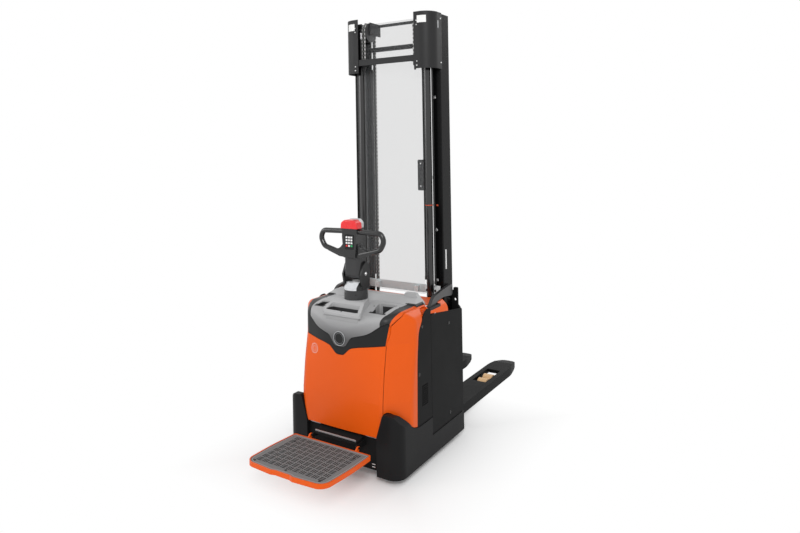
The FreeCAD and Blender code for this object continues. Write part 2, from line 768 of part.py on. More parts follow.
def mast_cover():
    """Bent cover plate around the head of the mast."""
    reach = "mast_front + 16"
    return slab("cover_sheet", "XY", [[
        ("cover_inner", "cover_front"), ("mast_half + 4", "cover_front", "cover_bend"),
        ("mast_half + 4", reach), ("mast_half", reach), ("mast_half", "cover_front + 4", "cover_bend - 4"),
        ("cover_inner", "cover_front + 4")]], "cover_bottom", "mast_height + 4")


pair("mast_cover", mast_cover())

# Tie bar across the mast head; the chains are anchored on its two shelves.
anchor_shelves = [box(f"anchor_shelf_{i}", (f"{s} * (sheave_x - 12) - 33", f"{s} * (sheave_x - 12) + 33"),
                      ("cover_front + 12", "guard_y"), ("anchor_z - 12", "anchor_z"))
                  for i, s in enumerate((-1, 1))]
anchor_bolts = [rod(f"anchor_bolt_{i}", (f"{s} * sheave_x", "sheave_y - sheave_radius - chain_thick / 2", "anchor_z - 70"),
                    "6", "62") for i, s in enumerate((-1, 1))]
anchor_nuts = [rod(f"anchor_nut_{i}", (f"{s} * sheave_x", "sheave_y - sheave_radius - chain_thick / 2", "anchor_z - 42"),
                   "12", "30") for i, s in enumerate((-1, 1))]
tie = box("tie_flat", ("-mast_half - 4 + cover_bend", "mast_half + 4 - cover_bend"), ("cover_front + 4", "cover_front + 12"),
          ("anchor_z - 20", "anchor_z + 18"))
node("anchor_bar", fuse("anchor_assembly", tie, *anchor_shelves, *anchor_bolts, *anchor_nuts))

node("mast_guard", slab("guard_sheet", "XZ", [[
    ("-guard_half", "deck_height + 6"), ("guard_half", "deck_height + 6"),
    ("guard_half", "sheave_z - sheave_radius - 24", "10"), ("sheave_x - 23", "sheave_z - sheave_radius - 24"),
    ("sheave_x - 23", "mast_height - 20", "10"), ("23 - sheave_x", "mast_height - 20", "10"),
    ("23 - sheave_x", "sheave_z - sheave_radius - 24"), ("-guard_half", "sheave_z - sheave_radius - 24", "10")]],
    "guard_y", "guard_y + guard_thick"))

tie_bar = box("lower_tie_bar", ("-mast_half + 24", "mast_half - 24"), ("mast_front - plate", "mast_front"),
              ("deck_height + 8", "deck_height + 58"))
tie_spacers = [box(f"tie_spacer_{i}", (f"{side} * 150 - 14", f"{side} * 150 + 14"),
                   ("guard_y + guard_thick", "mast_front - plate"), ("deck_height + 14", "deck_height + 50"))
               for i, side in enumerate((-1, 1))]
node("guard_bar", fuse("guard_bracket", tie_bar, *tie_spacers))


def lift_cylinder():
    """Cylinder tube beside the rail, bored for its rod."""
    tube_body = turned("jack_tube", "XZ", "V_Axis", [
        ("rod_radius + 0.5", "0"), ("jack_radius", "0"), ("jack_radius", "jack_top - base_top - 30"),
        ("jack_radius + 3", "jack_top - base_top - 30"), ("jack_radius + 3", "jack_top - base_top"),
        ("rod_radius + 0.5", "jack_top - base_top")],
        "jack_x", "jack_y", "base_top")
    return tube_body


both("lift_cylinders", lift_cylinder())

node("cable_plate", slab("cable_plate_sheet", "XZ", [[
    ("158", "1545", "8"), ("jack_x + 6", "1545"), ("jack_x + 6", "1740"), ("158", "1740", "8")]],
    "jack_y + jack_radius + 0.3", "jack_y + jack_radius + 4.3", rings=[("178", "1572", "5"), ("178", "1716", "5")]))


# ---------------------------------------------------------------- mast, moving stage

def inner_rail():
    """Channel rail of the moving stage, nested in the fixed one."""
    front, back = "mast_front + rail_flange + run_gap", "mast_back - rail_flange - run_gap"
    return slab("inner_channel", "XY", [[
        ("inner_half", front, "5"), ("inner_half", back, "5"), ("inner_half - inner_reach", back),
        ("inner_half - inner_reach", back + " - inner_flange", "4"),
        ("inner_half - inner_web", back + " - inner_flange", "7"),
        ("inner_half - inner_web", front + " + inner_flange", "7"),
        ("inner_half - inner_reach", front + " + inner_flange", "4"), ("inner_half - inner_reach", front)]],
        "base_top + run_gap", "mast_height - 4")


pair("inner_rail", inner_rail())

INNER_FRONT = "mast_front + rail_flange + run_gap"
INNER_BACK = "mast_back - rail_flange - run_gap"
BETWEEN = ("-inner_half + inner_reach", "inner_half - inner_reach")
top_bar = box("head_bar", BETWEEN, (INNER_BACK + " - inner_flange", INNER_BACK), ("mast_height - 22", "mast_height - 4"))
second_bar = box("lower_head_bar", BETWEEN, (INNER_FRONT, INNER_FRONT + " + inner_flange"), ("2456", "2486"))
foot_bar = box("foot_bar", BETWEEN, (INNER_FRONT, INNER_FRONT + " + inner_flange"),
               ("base_top + run_gap + 20", "base_top + run_gap + 110"))
sheave_cheeks = []
for i, s in enumerate((-1, 1)):
    for j, t in enumerate((-1, 1)):
        sheave_cheeks.append(box(
            f"cheek_{i}_{j}", (f"{s} * sheave_x + {t} * 19 - 3", f"{s} * sheave_x + {t} * 19 + 3"),
            ("sheave_y - 16", INNER_BACK + " - inner_flange + 1"), ("sheave_z - 16", "mast_height - 6")))
sheave_axles = [rod(f"sheave_axle_{i}", (f"{s} * sheave_x - 24", "sheave_y", "sheave_z"), "9", "48", "x")
                for i, s in enumerate((-1, 1))]
rod_heads = [box(f"rod_head_{i}", (f"{s} * (jack_x + 1) - 12", f"{s} * (jack_x + 1) + 12"), ("jack_y - 18", INNER_FRONT),
                 ("jack_top + 44", "jack_top + 64")) for i, s in enumerate((-1, 1))]
node("mast_crossbars", group("crossbars", fuse("crosshead", top_bar, *sheave_cheeks, *sheave_axles), second_bar,
                             *rod_heads, foot_bar))


def sheave():
    """Grooved chain wheel on its axle."""
    wheel = turned("sheave_wheel", "XZ", "H_Axis", [
        ("-15", "9.3"), ("15", "9.3"), ("15", "sheave_radius + 6"),
        ("chain_width / 2 + 1", "sheave_radius + 6"), ("chain_width / 2 + 1", "sheave_radius - 0.5"),
        ("-chain_width / 2 - 1", "sheave_radius - 0.5"), ("-chain_width / 2 - 1", "sheave_radius + 6"),
        ("-15", "sheave_radius + 6")],
        "sheave_x", "sheave_y", "sheave_z")
    return wheel


right_sheave = sheave()
both("chain_sheaves", right_sheave)


def lift_rod():
    return rod("jack_rod", ("jack_x", "jack_y", "jack_top - stroke - 60"), "rod_radius", "stroke + 60 + 44")


both("lift_rods", lift_rod())


# ---------------------------------------------------------------- chains

def chain_loop():
    """Moving fall of the lift chain: half way round the sheave and down to the carriage."""
    mid = "sheave_radius + chain_thick / 2"
    hoop = cut("chain_hoop_blank",
               rod("chain_hoop_out", ("sheave_x - chain_width / 2", "sheave_y", "sheave_z"), "sheave_radius + chain_thick",
                   "chain_width", "x"),
               rod("chain_hoop_in", ("sheave_x - chain_width", "sheave_y", "sheave_z"), "sheave_radius + 0.1",
                   "chain_width * 2", "x"),
               box("chain_hoop_low", ("0", "sheave_x * 2"), ("sheave_y - 200", "sheave_y + 200"),
                   ("sheave_z - 200", "sheave_z")))
    return hoop


right_hoop = chain_loop()
node("chain_crowns", group("hoops", right_hoop, mirror("hoop_left", right_hoop)))

FALL_Y = ("sheave_y + sheave_radius + 0.1", "sheave_y + sheave_radius + chain_thick")
RUN_Y = ("sheave_y - sheave_radius - chain_thick", "sheave_y - sheave_radius - 0.1")
CHAIN_X = ("sheave_x - chain_width / 2", "sheave_x + chain_width / 2")
both("carriage_chains", box("chain_fall", CHAIN_X, FALL_Y, ("374", "sheave_z")))
both("anchor_chains", box("chain_run", CHAIN_X, RUN_Y, ("anchor_z", "sheave_z")))


# ---------------------------------------------------------------- fork carriage

carriage_plates = [
    box("carriage_low", ("-fork_spread / 2 - 88", "fork_spread / 2 + 88"), ("mast_back + 11", "mast_back + 33"), ("100", "180")),
    box("carriage_high", ("-fork_spread / 2 - 88", "fork_spread / 2 + 88"), ("mast_back + 11", "mast_back + 33"), ("400", "470")),
]
for i, s in enumerate((-1, 1)):
    carriage_plates.append(box(f"carriage_post_{i}", (f"{s} * 226 - 8", f"{s} * 226 + 8"),
                               (INNER_FRONT + " + 30", "mast_back + 33"), ("108", "436")))
    carriage_plates.append(box(f"chain_lug_{i}", (f"{s} * sheave_x - 14", f"{s} * sheave_x + 14"),
                               ("sheave_y + sheave_radius - 6", "mast_back + 12"), ("356", "374")))
    carriage_plates.append(box(f"chain_web_{i}", (f"{s} * (sheave_x + 21) - 15", f"{s} * (sheave_x + 21) + 15"),
                               ("sheave_y + sheave_radius - 6", "mast_back + 12"), ("330", "374")))
carriage_stubs = []
for i, s in enumerate((-1, 1)):
    for j, height in enumerate(("150", "396")):
        stub_x = "226" if s > 0 else "-inner_half + inner_web + 6"
        carriage_stubs.append(rod(f"guide_stub_{i}_{j}", (stub_x, "(mast_front + mast_back) / 2", height), "12",
                                  "inner_half - inner_web - 6 - 226", "x"))
guide_radius = "(mast_back - mast_front) / 2 - rail_flange - run_gap - inner_flange - 0.8"
guide_rollers = []
for i, s in enumerate((-1, 1)):
    for j, height in enumerate(("150", "396")):
        roller_x = "inner_half - inner_web - 38" if s > 0 else "-inner_half + inner_web + 8"
        guide_rollers.append(rod(f"guide_roller_{i}_{j}", (roller_x, "(mast_front + mast_back) / 2", height), guide_radius,
                                 "30", "x"))
node("fork_carriage", fuse("carriage", *carriage_plates, *carriage_stubs, *guide_rollers))


def fork():
    """Pressed fork: an inverted trough with a roller opening and a sloped, rounded tip."""
    mid = "fork_spread / 2"
    plan = slab("fork_plan", "XY", [[
        ("-fork_width / 2", "0"), ("fork_width / 2", "0"), ("fork_width / 2", "fork_length - 190", "300"),
        ("52", "fork_length", "46"), ("-52", "fork_length", "46"), ("-fork_width / 2", "fork_length - 190", "300")]],
        "fork_top - fork_depth", "fork_top", x=mid, y="fork_heel")
    side = slab("fork_side", "YZ", [[
        ("-1", "fork_top - fork_depth"), ("-1", "fork_top"), ("fork_length - 120", "fork_top"),
        ("fork_length + 1", "fork_top - 22"), ("fork_length + 1", "fork_top - fork_depth + 18"),
        ("fork_length - 70", "fork_top - fork_depth")]], "fork_spread / 2 - 110", "fork_spread / 2 + 110", y="fork_heel")
    trough = box("fork_trough", (mid + " - fork_width / 2 + fork_wall", mid + " + fork_width / 2 - fork_wall"),
                 ("fork_heel - 5", "fork_heel + fork_length - 215"), ("0", "fork_top - fork_wall"))
    slot = slab("fork_slot", "XY", [[
        ("-fork_slot_width / 2", "load_y - fork_slot_length / 2 + 12", "6"),
        ("fork_slot_width / 2", "load_y - fork_slot_length / 2 + 12", "6"),
        ("fork_slot_width / 2", "load_y + fork_slot_length / 2 + 12", "6"),
        ("-fork_slot_width / 2", "load_y + fork_slot_length / 2 + 12", "6")]], "0", "fork_top + 5", x=mid)
    blade = cut("fork_blade", common("fork_form", plan, side), trough, slot)
    shank = slab("fork_shank", "YZ", [[
        ("fork_heel - 34", "fork_top - 6"), ("fork_heel + 10", "fork_top - 6"), ("fork_heel + 10", "fork_top", "4"),
        ("fork_heel", "fork_top + 12", "10"), ("fork_heel", "540", "10"), ("fork_heel - 34", "540", "10")]],
        "fork_spread / 2 - 55", "fork_spread / 2 + 55")
    return fuse("fork_whole", blade, shank)


pair("fork", fork())


# ---------------------------------------------------------------- support legs and load rollers

def support_leg():
    """Leg under the fork, forked at its end for the roller bogie."""
    return slab("leg_bar", "XY", [[
        ("-leg_width / 2", "mast_front - 40"), ("leg_width / 2", "mast_front - 40"),
        ("leg_width / 2", "load_y + 118", "9"), ("leg_width / 2 - 12", "load_y + 118"),
        ("leg_width / 2 - 12", "load_y - 120", "12"), ("-leg_width / 2 + 12", "load_y - 120", "12"),
        ("-leg_width / 2 + 12", "load_y + 118"), ("-leg_width / 2", "load_y + 118", "9")]],
        "leg_bottom", "leg_top", x="fork_spread / 2")


pair("support_leg", support_leg())


def bogie():
    """Two rocker plates that carry the tandem roller axles."""
    pieces = []
    for i, side in enumerate((-1, 1)):
        face = f"fork_spread / 2 + {side} * 52 - 4"
        pieces.append(slab(f"rocker_{i}", "YZ", [[
            ("-load_spread / 2 - 22", "load_radius - 14", "13"), ("load_spread / 2 + 22", "load_radius - 14", "13"),
            ("load_spread / 2 + 22", "load_radius + 12", "13"), ("0", "load_radius + 26", "16"),
            ("-load_spread / 2 - 22", "load_radius + 12", "13")]], face, face + " + 8", y="load_y"))
    for i, side in enumerate((-1, 1)):
        pieces.append(rod(f"load_axle_{i}", ("fork_spread / 2 - 56", f"load_y + {side} * load_spread / 2", "load_radius"),
                          "8", "112", "x"))
    pieces.append(rod("bogie_pivot_out", ("fork_spread / 2 + 48", "load_y", "load_radius + 8"), "12",
                      "leg_width / 2 - 12 - 48", "x"))
    pieces.append(rod("bogie_pivot_in", ("fork_spread / 2 - leg_width / 2 + 12", "load_y", "load_radius + 8"), "12",
                      "leg_width / 2 - 12 - 48", "x"))
    return fuse("bogie", *pieces)


both("roller_bogies", bogie())


def load_roller(name, end):
    return turned(name, "XZ", "H_Axis", [
        ("-load_width / 2", "8.1"), ("load_width / 2", "8.1"), ("load_width / 2", "load_radius - 3"),
        ("load_width / 2 - 3", "load_radius"), ("-load_width / 2 + 3", "load_radius"),
        ("-load_width / 2", "load_radius - 3")],
        "fork_spread / 2", f"load_y + {end} * load_spread / 2", "load_radius")


pair("load_roller_near", load_roller("near_roller", "-1"))
pair("load_roller_far", load_roller("far_roller", "1"))


# ---------------------------------------------------------------- drive unit and castor

gearbox = slab("gearbox", "YZ", [[
    ("-46", "drive_wheel_radius - 44", "36"), ("46", "drive_wheel_radius - 44", "36"),
    ("46", "drive_wheel_radius * 2 + 8", "8"), ("-46", "drive_wheel_radius * 2 + 8", "8")]],
    "drive_x + drive_wheel_width / 2 + 5", "drive_x + drive_wheel_width / 2 + 45", y="drive_y")
gear_head = rod("gear_head", ("drive_x", "drive_y", "drive_wheel_radius * 2 + 6"), "96",
                "drive_deck_height - 0.3 - drive_wheel_radius * 2 - 6")
motor = rod("motor", ("drive_x", "drive_y", "drive_deck_height - 4"), "60", "230")
drive_axle = rod("drive_axle", ("drive_x - drive_wheel_width / 2 - 3", "drive_y", "drive_wheel_radius"), "16",
                 "drive_wheel_width + 14", "x")
node("drive_unit", fuse("drive_gear", gearbox, gear_head, motor, drive_axle))

node("drive_wheel", turned("drive_tyre", "XZ", "H_Axis", [
    ("-drive_wheel_width / 2 + 8", "16.1"), ("drive_wheel_width / 2", "16.1"), ("drive_wheel_width / 2", "50"),
    ("drive_wheel_width / 2 - 8", "54"), ("drive_wheel_width / 2 - 8", "88"), ("drive_wheel_width / 2", "92"),
    ("drive_wheel_width / 2", "drive_wheel_radius - 4"), ("drive_wheel_width / 2 - 4", "drive_wheel_radius"),
    ("-drive_wheel_width / 2 + 4", "drive_wheel_radius"), ("-drive_wheel_width / 2", "drive_wheel_radius - 4"),
    ("-drive_wheel_width / 2", "92"), ("-drive_wheel_width / 2 + 20", "88"), ("-drive_wheel_width / 2 + 20", "54"),
    ("-drive_wheel_width / 2 + 8", "40")],
    "drive_x", "drive_y", "drive_wheel_radius"))

castor_top = rod("castor_plate", ("castor_x", "castor_y", "castor_radius * 2 + 12"), "46", "14")
castor_stem = rod("castor_stem", ("castor_x", "castor_y", "castor_radius * 2 + 12"), "14", "60")
castor_arms = [slab(f"castor_arm_{i}", "YZ", [[
    ("castor_trail - 18", "castor_radius - 16", "14"), ("castor_trail + 18", "castor_radius - 16", "14"),
    ("castor_trail + 22", "castor_radius + 20", "20"), ("34", "castor_radius * 2 + 14"),
    ("-34", "castor_radius * 2 + 14"), ("castor_trail - 22", "castor_radius + 20", "30")]],
    f"castor_x + {side} * 33 - 3", f"castor_x + {side} * 33 + 3", y="castor_y") for i, side in enumerate((-1, 1))]
castor_axle = rod("castor_axle", ("castor_x - 40", "castor_y + castor_trail", "castor_radius"), "8", "80", "x")
node("castor_fork", fuse("castor_yoke", castor_top, castor_stem, *castor_arms, castor_axle))

node("castor_wheel", turned("castor_tyre", "XZ", "H_Axis", [
    ("-castor_width / 2 - 3", "8.1"), ("castor_width / 2 + 3", "8.1"), ("castor_width / 2 + 3", "20"),
    ("castor_width / 2 - 6", "24"), ("castor_width / 2 - 6", "52"), ("castor_width / 2", "56"),
    ("castor_width / 2", "castor_radius - 6"), ("castor_width / 2 - 6", "castor_radius"),
    ("-castor_width / 2 + 6", "castor_radius"), ("-castor_width / 2", "castor_radius - 6"),
    ("-castor_width / 2", "56"), ("-castor_width / 2 + 6", "52"), ("-castor_width / 2 + 6", "24"),
    ("-castor_width / 2 - 3", "20")],
    "castor_x", "castor_y + castor_trail", "castor_radius"))

castor_seat = cut("castor_seat", rod("castor_seat_out", ("castor_x", "castor_y", "castor_radius * 2 + 26.3"), "44",
                                     "drive_deck_height + 2 - castor_radius * 2 - 26.3"),
                  rod("castor_seat_bore", ("castor_x", "castor_y", "castor_radius * 2 + 20"), "14.1", "56"))
node("drive_deck", fuse("deck_with_seat", deck_plate, castor_seat))


# ---------------------------------------------------------------- tiller

node("tiller_drum", turned("drum", "XZ", "V_Axis", [
    ("0", "plateau_height - 7"), ("drum_radius", "plateau_height - 7"),
    ("drum_radius", "drum_top"), ("0", "drum_top")], "0", "tiller_y", "0"))

turret_cap = turned("turret_cap", "XZ", "V_Axis", [
    ("0", "drum_top + 0.5"), ("drum_radius - 1", "drum_top + 0.5"), ("drum_radius - 1", "drum_top + 16"),
    ("drum_radius - 22", "drum_top + 44"), ("0", "drum_top + 44")], "0", "tiller_y", "0")
yoke_cheeks = [slab(f"yoke_cheek_{i}", "YZ", [[
    ("-26", "drum_top + 6"), ("40", "drum_top + 6"), ("46", "tilt_z + 20", "30"), ("22", "tilt_z + 78", "20"),
    ("-14", "tilt_z + 56", "30"), ("-44", "tilt_z - 4", "24")]],
    f"{side} * 63 - 6", f"{side} * 63 + 6", y="tiller_y") for i, side in enumerate((-1, 1))]
yoke_base = slab("yoke_base", "YZ", [[
    ("-26", "drum_top + 6"), ("40", "drum_top + 6"), ("40", "drum_top + 40"), ("-18", "drum_top + 40")]],
    "-66", "66", y="tiller_y")
tilt_pin = rod("tilt_pin", ("-72", "tiller_y", "tilt_z"), "10", "144", "x")
node("tiller_turret", fuse("turret", turret_cap, yoke_base, *yoke_cheeks, tilt_pin))

barrel = common(
    "neck_barrel",
    slab("neck_side", "YZ", [[
        ("-28", "tilt_z - 28", "22"), ("28", "tilt_z - 28", "22"), ("34", "head_bottom"), ("-46", "head_bottom"),
        ("-46", "tilt_z - 4", "26")]], "-54", "54", y="tiller_y"),
    slab("neck_plan", "XY", [[
        ("-54", "-46", "22"), ("54", "-46", "22"), ("54", "40"), ("-54", "40")]],
        "tilt_z - 40", "head_bottom + 2", y="tiller_y"))
pin_bore = rod("pin_bore", ("-80", "tiller_y", "tilt_z"), "10.1", "160", "x")
node("tiller_arm", cut("tiller_body", barrel, pin_bore))

head = common(
    "head_block",
    slab("head_side", "YZ", [[
        ("-62", "head_bottom", "4"), ("34", "head_bottom"), ("30", "head_top - 60"), ("20", "head_top - 2"),
        ("-58", "head_top - 2")]], "-60", "60", y="tiller_y"),
    slab("head_front", "XZ", [[
        ("-41", "head_bottom"), ("41", "head_bottom"), ("53", "head_top - 40", "60"), ("53", "head_top"),
        ("-53", "head_top"), ("-53", "head_top - 40", "60")]], "tiller_y - 70", "tiller_y + 45"))


def handle_loop():
    """Round grip bar that leaves the head, turns down and runs back to a ribbed web."""
    spine = path("loop_path", "XZ", [
        ("head_half - 8", "head_top - 8"), ("loop_half - 20", "head_top - 12", "30"), ("loop_half + 4", "head_top - 54", "46"),
        ("loop_half - 26", "head_bottom + 54", "40"), ("head_half - 4", "head_bottom + 14")],
        "0", "tiller_y - 36", "0")
    grip = tube("loop_grip", spine, "loop_tube")
    web = slab("loop_web", "XZ", [[
        ("38", "head_bottom"), ("head_half + 30", "head_bottom + 3"), ("loop_half - 60", "head_bottom + 32"),
        ("loop_half - 46", "head_bottom + 52"), ("loop_half - 90", "head_bottom + 38", "50"),
        ("head_half + 26", "head_bottom + 52", "50"), ("38", "head_bottom + 98")]], "tiller_y - 49", "tiller_y - 5")
    gaps = [slab(f"rib_gap_{i}", "XZ", [[
        ("head_half + 4", "head_bottom + 66"), ("head_half + 30", "head_bottom + 38"), ("loop_half - 90", "head_bottom + 26"),
        ("loop_half - 66", "head_bottom + 34"), ("loop_half - 66", "head_bottom + 90"), ("head_half + 4", "head_bottom + 90")]],
        f"tiller_y - {45 - 11 * i}", f"tiller_y - {38 - 11 * i}") for i in range(4)]
    return fuse("loop", cut("loop_ribbed_web", web, *gaps), grip)


right_loop = handle_loop()
back_cap = slab("back_cap_block", "XZ", [[
    ("-48", "head_top - 6"), ("48", "head_top - 6"), ("50", "head_top + 40", "18"), ("30", "head_top + 62", "16"),
    ("-30", "head_top + 62", "16"), ("-50", "head_top + 40", "18")]],
    "tiller_y - 9.7", "tiller_y + 18")
neck_collar = box("cap_collar", ("-51", "51"), ("tiller_y - 58", "tiller_y + 18"), ("head_top - 4", "head_top + 10"))
keypad_pocket = slab("keypad_pocket", "XZ", [[
    ("-32.3", "head_bottom + 47.7", "5"), ("32.3", "head_bottom + 47.7", "5"), ("32.3", "head_top - 25.7", "5"),
    ("-32.3", "head_top - 25.7", "5")]], "tiller_y - 80", "tiller_y - 54")
node("tiller_handle", cut("handle", fuse("handle_blank", head, right_loop, mirror("loop_left", right_loop), back_cap, neck_collar),
                          keypad_pocket))

cap = slab("cap_block", "XZ", [[
    ("-60", "head_top + 10.3"), ("60", "head_top + 10.3"), ("57", "head_top + 42", "16"), ("36", "head_top + 60", "40"),
    ("-36", "head_top + 60", "40"), ("-57", "head_top + 42", "16")]], "tiller_y - 68", "tiller_y - 10")
node("reverse_button", soften(cap, "9", lambda e: abs(e.tangentAt(e.FirstParameter).y) < 0.2
                              and e.CenterOfMass.z > value("head_top + 30")))
node("keypad", slab("keypad_plate", "XZ", [[
    ("-32", "head_bottom + 48", "5"), ("32", "head_bottom + 48", "5"), ("32", "head_top - 26", "5"),
    ("-32", "head_top - 26", "5")]], "tiller_y - 61", "tiller_y - 54"))


# ---------------------------------------------------------------- rider platform

def on_hinge(piece):
    """Turn a platform piece, drawn level from its hinge, to its parked rake."""
    return place(piece, "0", "hinge_y", "hinge_z", axis=(-1, 0, 0), angle="platform_rake")


def platform_outline(inset):
    return [
        (f"-platform_back + {inset}", f"-20 - {inset}", "14"), (f"platform_back - {inset}", f"-20 - {inset}", "14"),
        (f"platform_back + 6 - {inset}", "-platform_length / 2", "1400"),
        (f"platform_front - {inset}", f"-platform_length + 16 + {inset}", f"62 - {inset}"),
        ("72", f"-platform_length + 2 + {inset}", "20"),
        ("48", f"-platform_length + 10 + {inset}", "12"), ("-48", f"-platform_length + 10 + {inset}", "12"),
        ("-72", f"-platform_length + 2 + {inset}", "20"),
        (f"-platform_front + {inset}", f"-platform_length + 16 + {inset}", f"62 - {inset}"),
        (f"-platform_back - 6 + {inset}", "-platform_length / 2", "1400"),
    ]


pan_blank = slab("pan_blank", "XY", [platform_outline("0")], "-pan_depth", "-8", y="-nose_y")
pan_well = slab("pan_well", "XY", [platform_outline("6")], "-mat_drop - mat_thick", "10", y="-nose_y")
pan_under = slab("pan_under", "XY", [platform_outline("5")], "-pan_depth - 10", "-mat_drop - mat_thick - 6", y="-nose_y")
ears = [slab(f"ear_{i}", "YZ", [[
    ("-34", "-22"), ("-8", "-22", "4"), ("11", "-8", "10"), ("10", "9", "9"), ("-10", "9", "9"), ("-30", "-12", "8")]],
    f"{side} * 166 - 4", f"{side} * 166 + 4", rings=[("0", "0", "6.1")], y="-nose_y") for i, side in enumerate((-1, 1))]
pan = cut("pan", fuse("pan_full", pan_blank, *ears), pan_well, pan_under)
node("platform_pan", on_hinge(pan))
mat = slab("mat_sheet", "XY", [platform_outline("6.5")], "-mat_drop - mat_thick", "-mat_drop + 3", y="-nose_y")
node("platform_mat", on_hinge(group("mat_level", mat)))

hinge_lugs = []
for i, side in enumerate((-1, 1)):
    hinge_lugs.append(slab(f"hinge_lug_{i}", "YZ", [[
        ("hinge_y - 10", "hinge_z - 9", "8"), ("bulkhead_y", "hinge_z - 20"), ("bulkhead_y", "hinge_z + 16"),
        ("hinge_y - 2", "hinge_z + 11", "9")]], f"{side} * 154 - 4", f"{side} * 154 + 4"))
hinge_pins = [rod(f"hinge_pin_{i}", (f"{side} * 163 - 13", "hinge_y", "hinge_z"), "6", "26", "x")
              for i, side in enumerate((-1, 1))]
node("platform_hinge", group("hinge_pair", *[fuse(f"hinge_side_{i}", lug, pin)
                                             for i, (lug, pin) in enumerate(zip(hinge_lugs, hinge_pins))]))


# ---------------------------------------------------------------- checks and export

doc.recompute()
faults = [f"{obj.Label}: {obj.State}" for obj in doc.Objects if "Invalid" in obj.State or "Error" in obj.State]
os.makedirs("parts", exist_ok=True)
facets = 0
for piece in NODES:
    shape = piece.Shape
    if shape.isNull() or not shape.isValid() or not shape.Solids:
        faults.append(f"{piece.Label}: no valid solid")
        continue
    facets += MeshPart.meshFromShape(Shape=shape, LinearDeflection=0.5, AngularDeflection=0.5).CountFacets
    shape.exportStep(f"parts/{piece.Label}.step")
print(len(NODES), "nodes,", facets, "facets")
if faults:
    raise RuntimeError("; ".join(faults))
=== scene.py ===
import json
import math

import bmesh
import bpy
from mathutils import Matrix, Vector
from mathutils.bvhtree import BVHTree


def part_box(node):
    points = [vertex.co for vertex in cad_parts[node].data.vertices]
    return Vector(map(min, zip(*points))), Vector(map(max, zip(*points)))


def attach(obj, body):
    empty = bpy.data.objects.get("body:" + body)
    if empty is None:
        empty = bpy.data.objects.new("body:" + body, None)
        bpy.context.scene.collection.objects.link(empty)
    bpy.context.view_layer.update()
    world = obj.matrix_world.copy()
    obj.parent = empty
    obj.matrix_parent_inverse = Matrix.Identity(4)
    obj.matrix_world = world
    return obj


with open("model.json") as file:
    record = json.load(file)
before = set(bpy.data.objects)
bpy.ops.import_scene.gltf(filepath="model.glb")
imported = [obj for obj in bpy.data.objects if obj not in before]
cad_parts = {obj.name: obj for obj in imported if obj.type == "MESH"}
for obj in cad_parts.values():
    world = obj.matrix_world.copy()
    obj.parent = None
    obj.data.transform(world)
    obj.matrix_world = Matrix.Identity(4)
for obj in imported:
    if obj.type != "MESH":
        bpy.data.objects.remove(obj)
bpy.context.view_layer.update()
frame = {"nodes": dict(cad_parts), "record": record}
nodes = frame["nodes"]

# Ride-on stacker: finishes, trim and small fittings.
# Metres, +Z up, +Y towards the fork tips, +X to the rider's right.

SIDES = (-1, 1)
SIDE_WORDS = ((-1, "left"), (1, "right"))
UP, DOWN = (0.0, 0.0, 1.0), (0.0, 0.0, -1.0)
TO_FORKS, TO_RIDER = (0.0, 1.0, 0.0), (0.0, -1.0, 0.0)
FLOAT, VECTOR = "NodeSocketFloat", "NodeSocketVector"


# ---------------------------------------------------------------- node helpers

def new_group(name, inputs, outputs):
    """A shader node group with named sockets, and its two end nodes."""
    tree = bpy.data.node_groups.new(name, "ShaderNodeTree")
    for socket, kind, default in inputs:
        item = tree.interface.new_socket(name=socket, in_out="INPUT", socket_type=kind)
        item.default_value = default
    for socket, kind in outputs:
        tree.interface.new_socket(name=socket, in_out="OUTPUT", socket_type=kind)
    source = tree.nodes.new("NodeGroupInput")
    result = tree.nodes.new("NodeGroupOutput")
    return tree, source, result


def link(tree, source, target):
    tree.links.new(source, target)


def set_inputs(node, **inputs):
    """Set inputs by their names, with _ for a space."""
    for key, setting in inputs.items():
        node.inputs[key.replace("_", " ")].default_value = setting
    return node


def add(tree, kind, **settings):
    """A node with its settings; a key that is no attribute of the node sets an input."""
    node = tree.nodes.new(kind)
    for key, setting in settings.items():
        if hasattr(node, key):
            setattr(node, key, setting)
        else:
            set_inputs(node, **{key: setting})
    return node


def place_group(tree, group, **inputs):
    node = tree.nodes.new("ShaderNodeGroup")
    node.node_tree = group
    return set_inputs(node, **inputs)


def object_place(tree):
    """A point's place on its own piece."""
    return add(tree, "ShaderNodeTexCoord").outputs["Object"]


def axes_of(tree, spot):
    """The x, y and z of a vector output."""
    split = add(tree, "ShaderNodeSeparateXYZ")
    link(tree, spot, split.inputs[0])
    return split.outputs


def object_noise(tree, **settings):
    """Noise that is fixed to its piece."""
    noise = add(tree, "ShaderNodeTexNoise", **settings)
    link(tree, object_place(tree), noise.inputs["Vector"])
    return noise


def math_node(tree, operation, first, second=None, clamp=False):
    """The result of an operation on numbers or outputs."""
    node = tree.nodes.new("ShaderNodeMath")
    node.operation = operation
    node.use_clamp = clamp
    for index, term in enumerate((first, second)):
        if term is None:
            continue
        if isinstance(term, (int, float)):
            node.inputs[index].default_value = term
        else:
            link(tree, term, node.inputs[index])
    return node.outputs[0]


def plus(tree, first, second, clamp=False):
    return math_node(tree, "ADD", first, second, clamp)


def minus(tree, first, second, clamp=False):
    return math_node(tree, "SUBTRACT", first, second, clamp)


def times(tree, first, second, clamp=False):
    return math_node(tree, "MULTIPLY", first, second, clamp)


def larger(tree, first, second):
    return math_node(tree, "MAXIMUM", first, second)


def beyond(tree, term, limit):
    """One where a term is above its limit, else nought."""
    return math_node(tree, "GREATER_THAN", term, limit)


def size_of(tree, term):
    return math_node(tree, "ABSOLUTE", term)


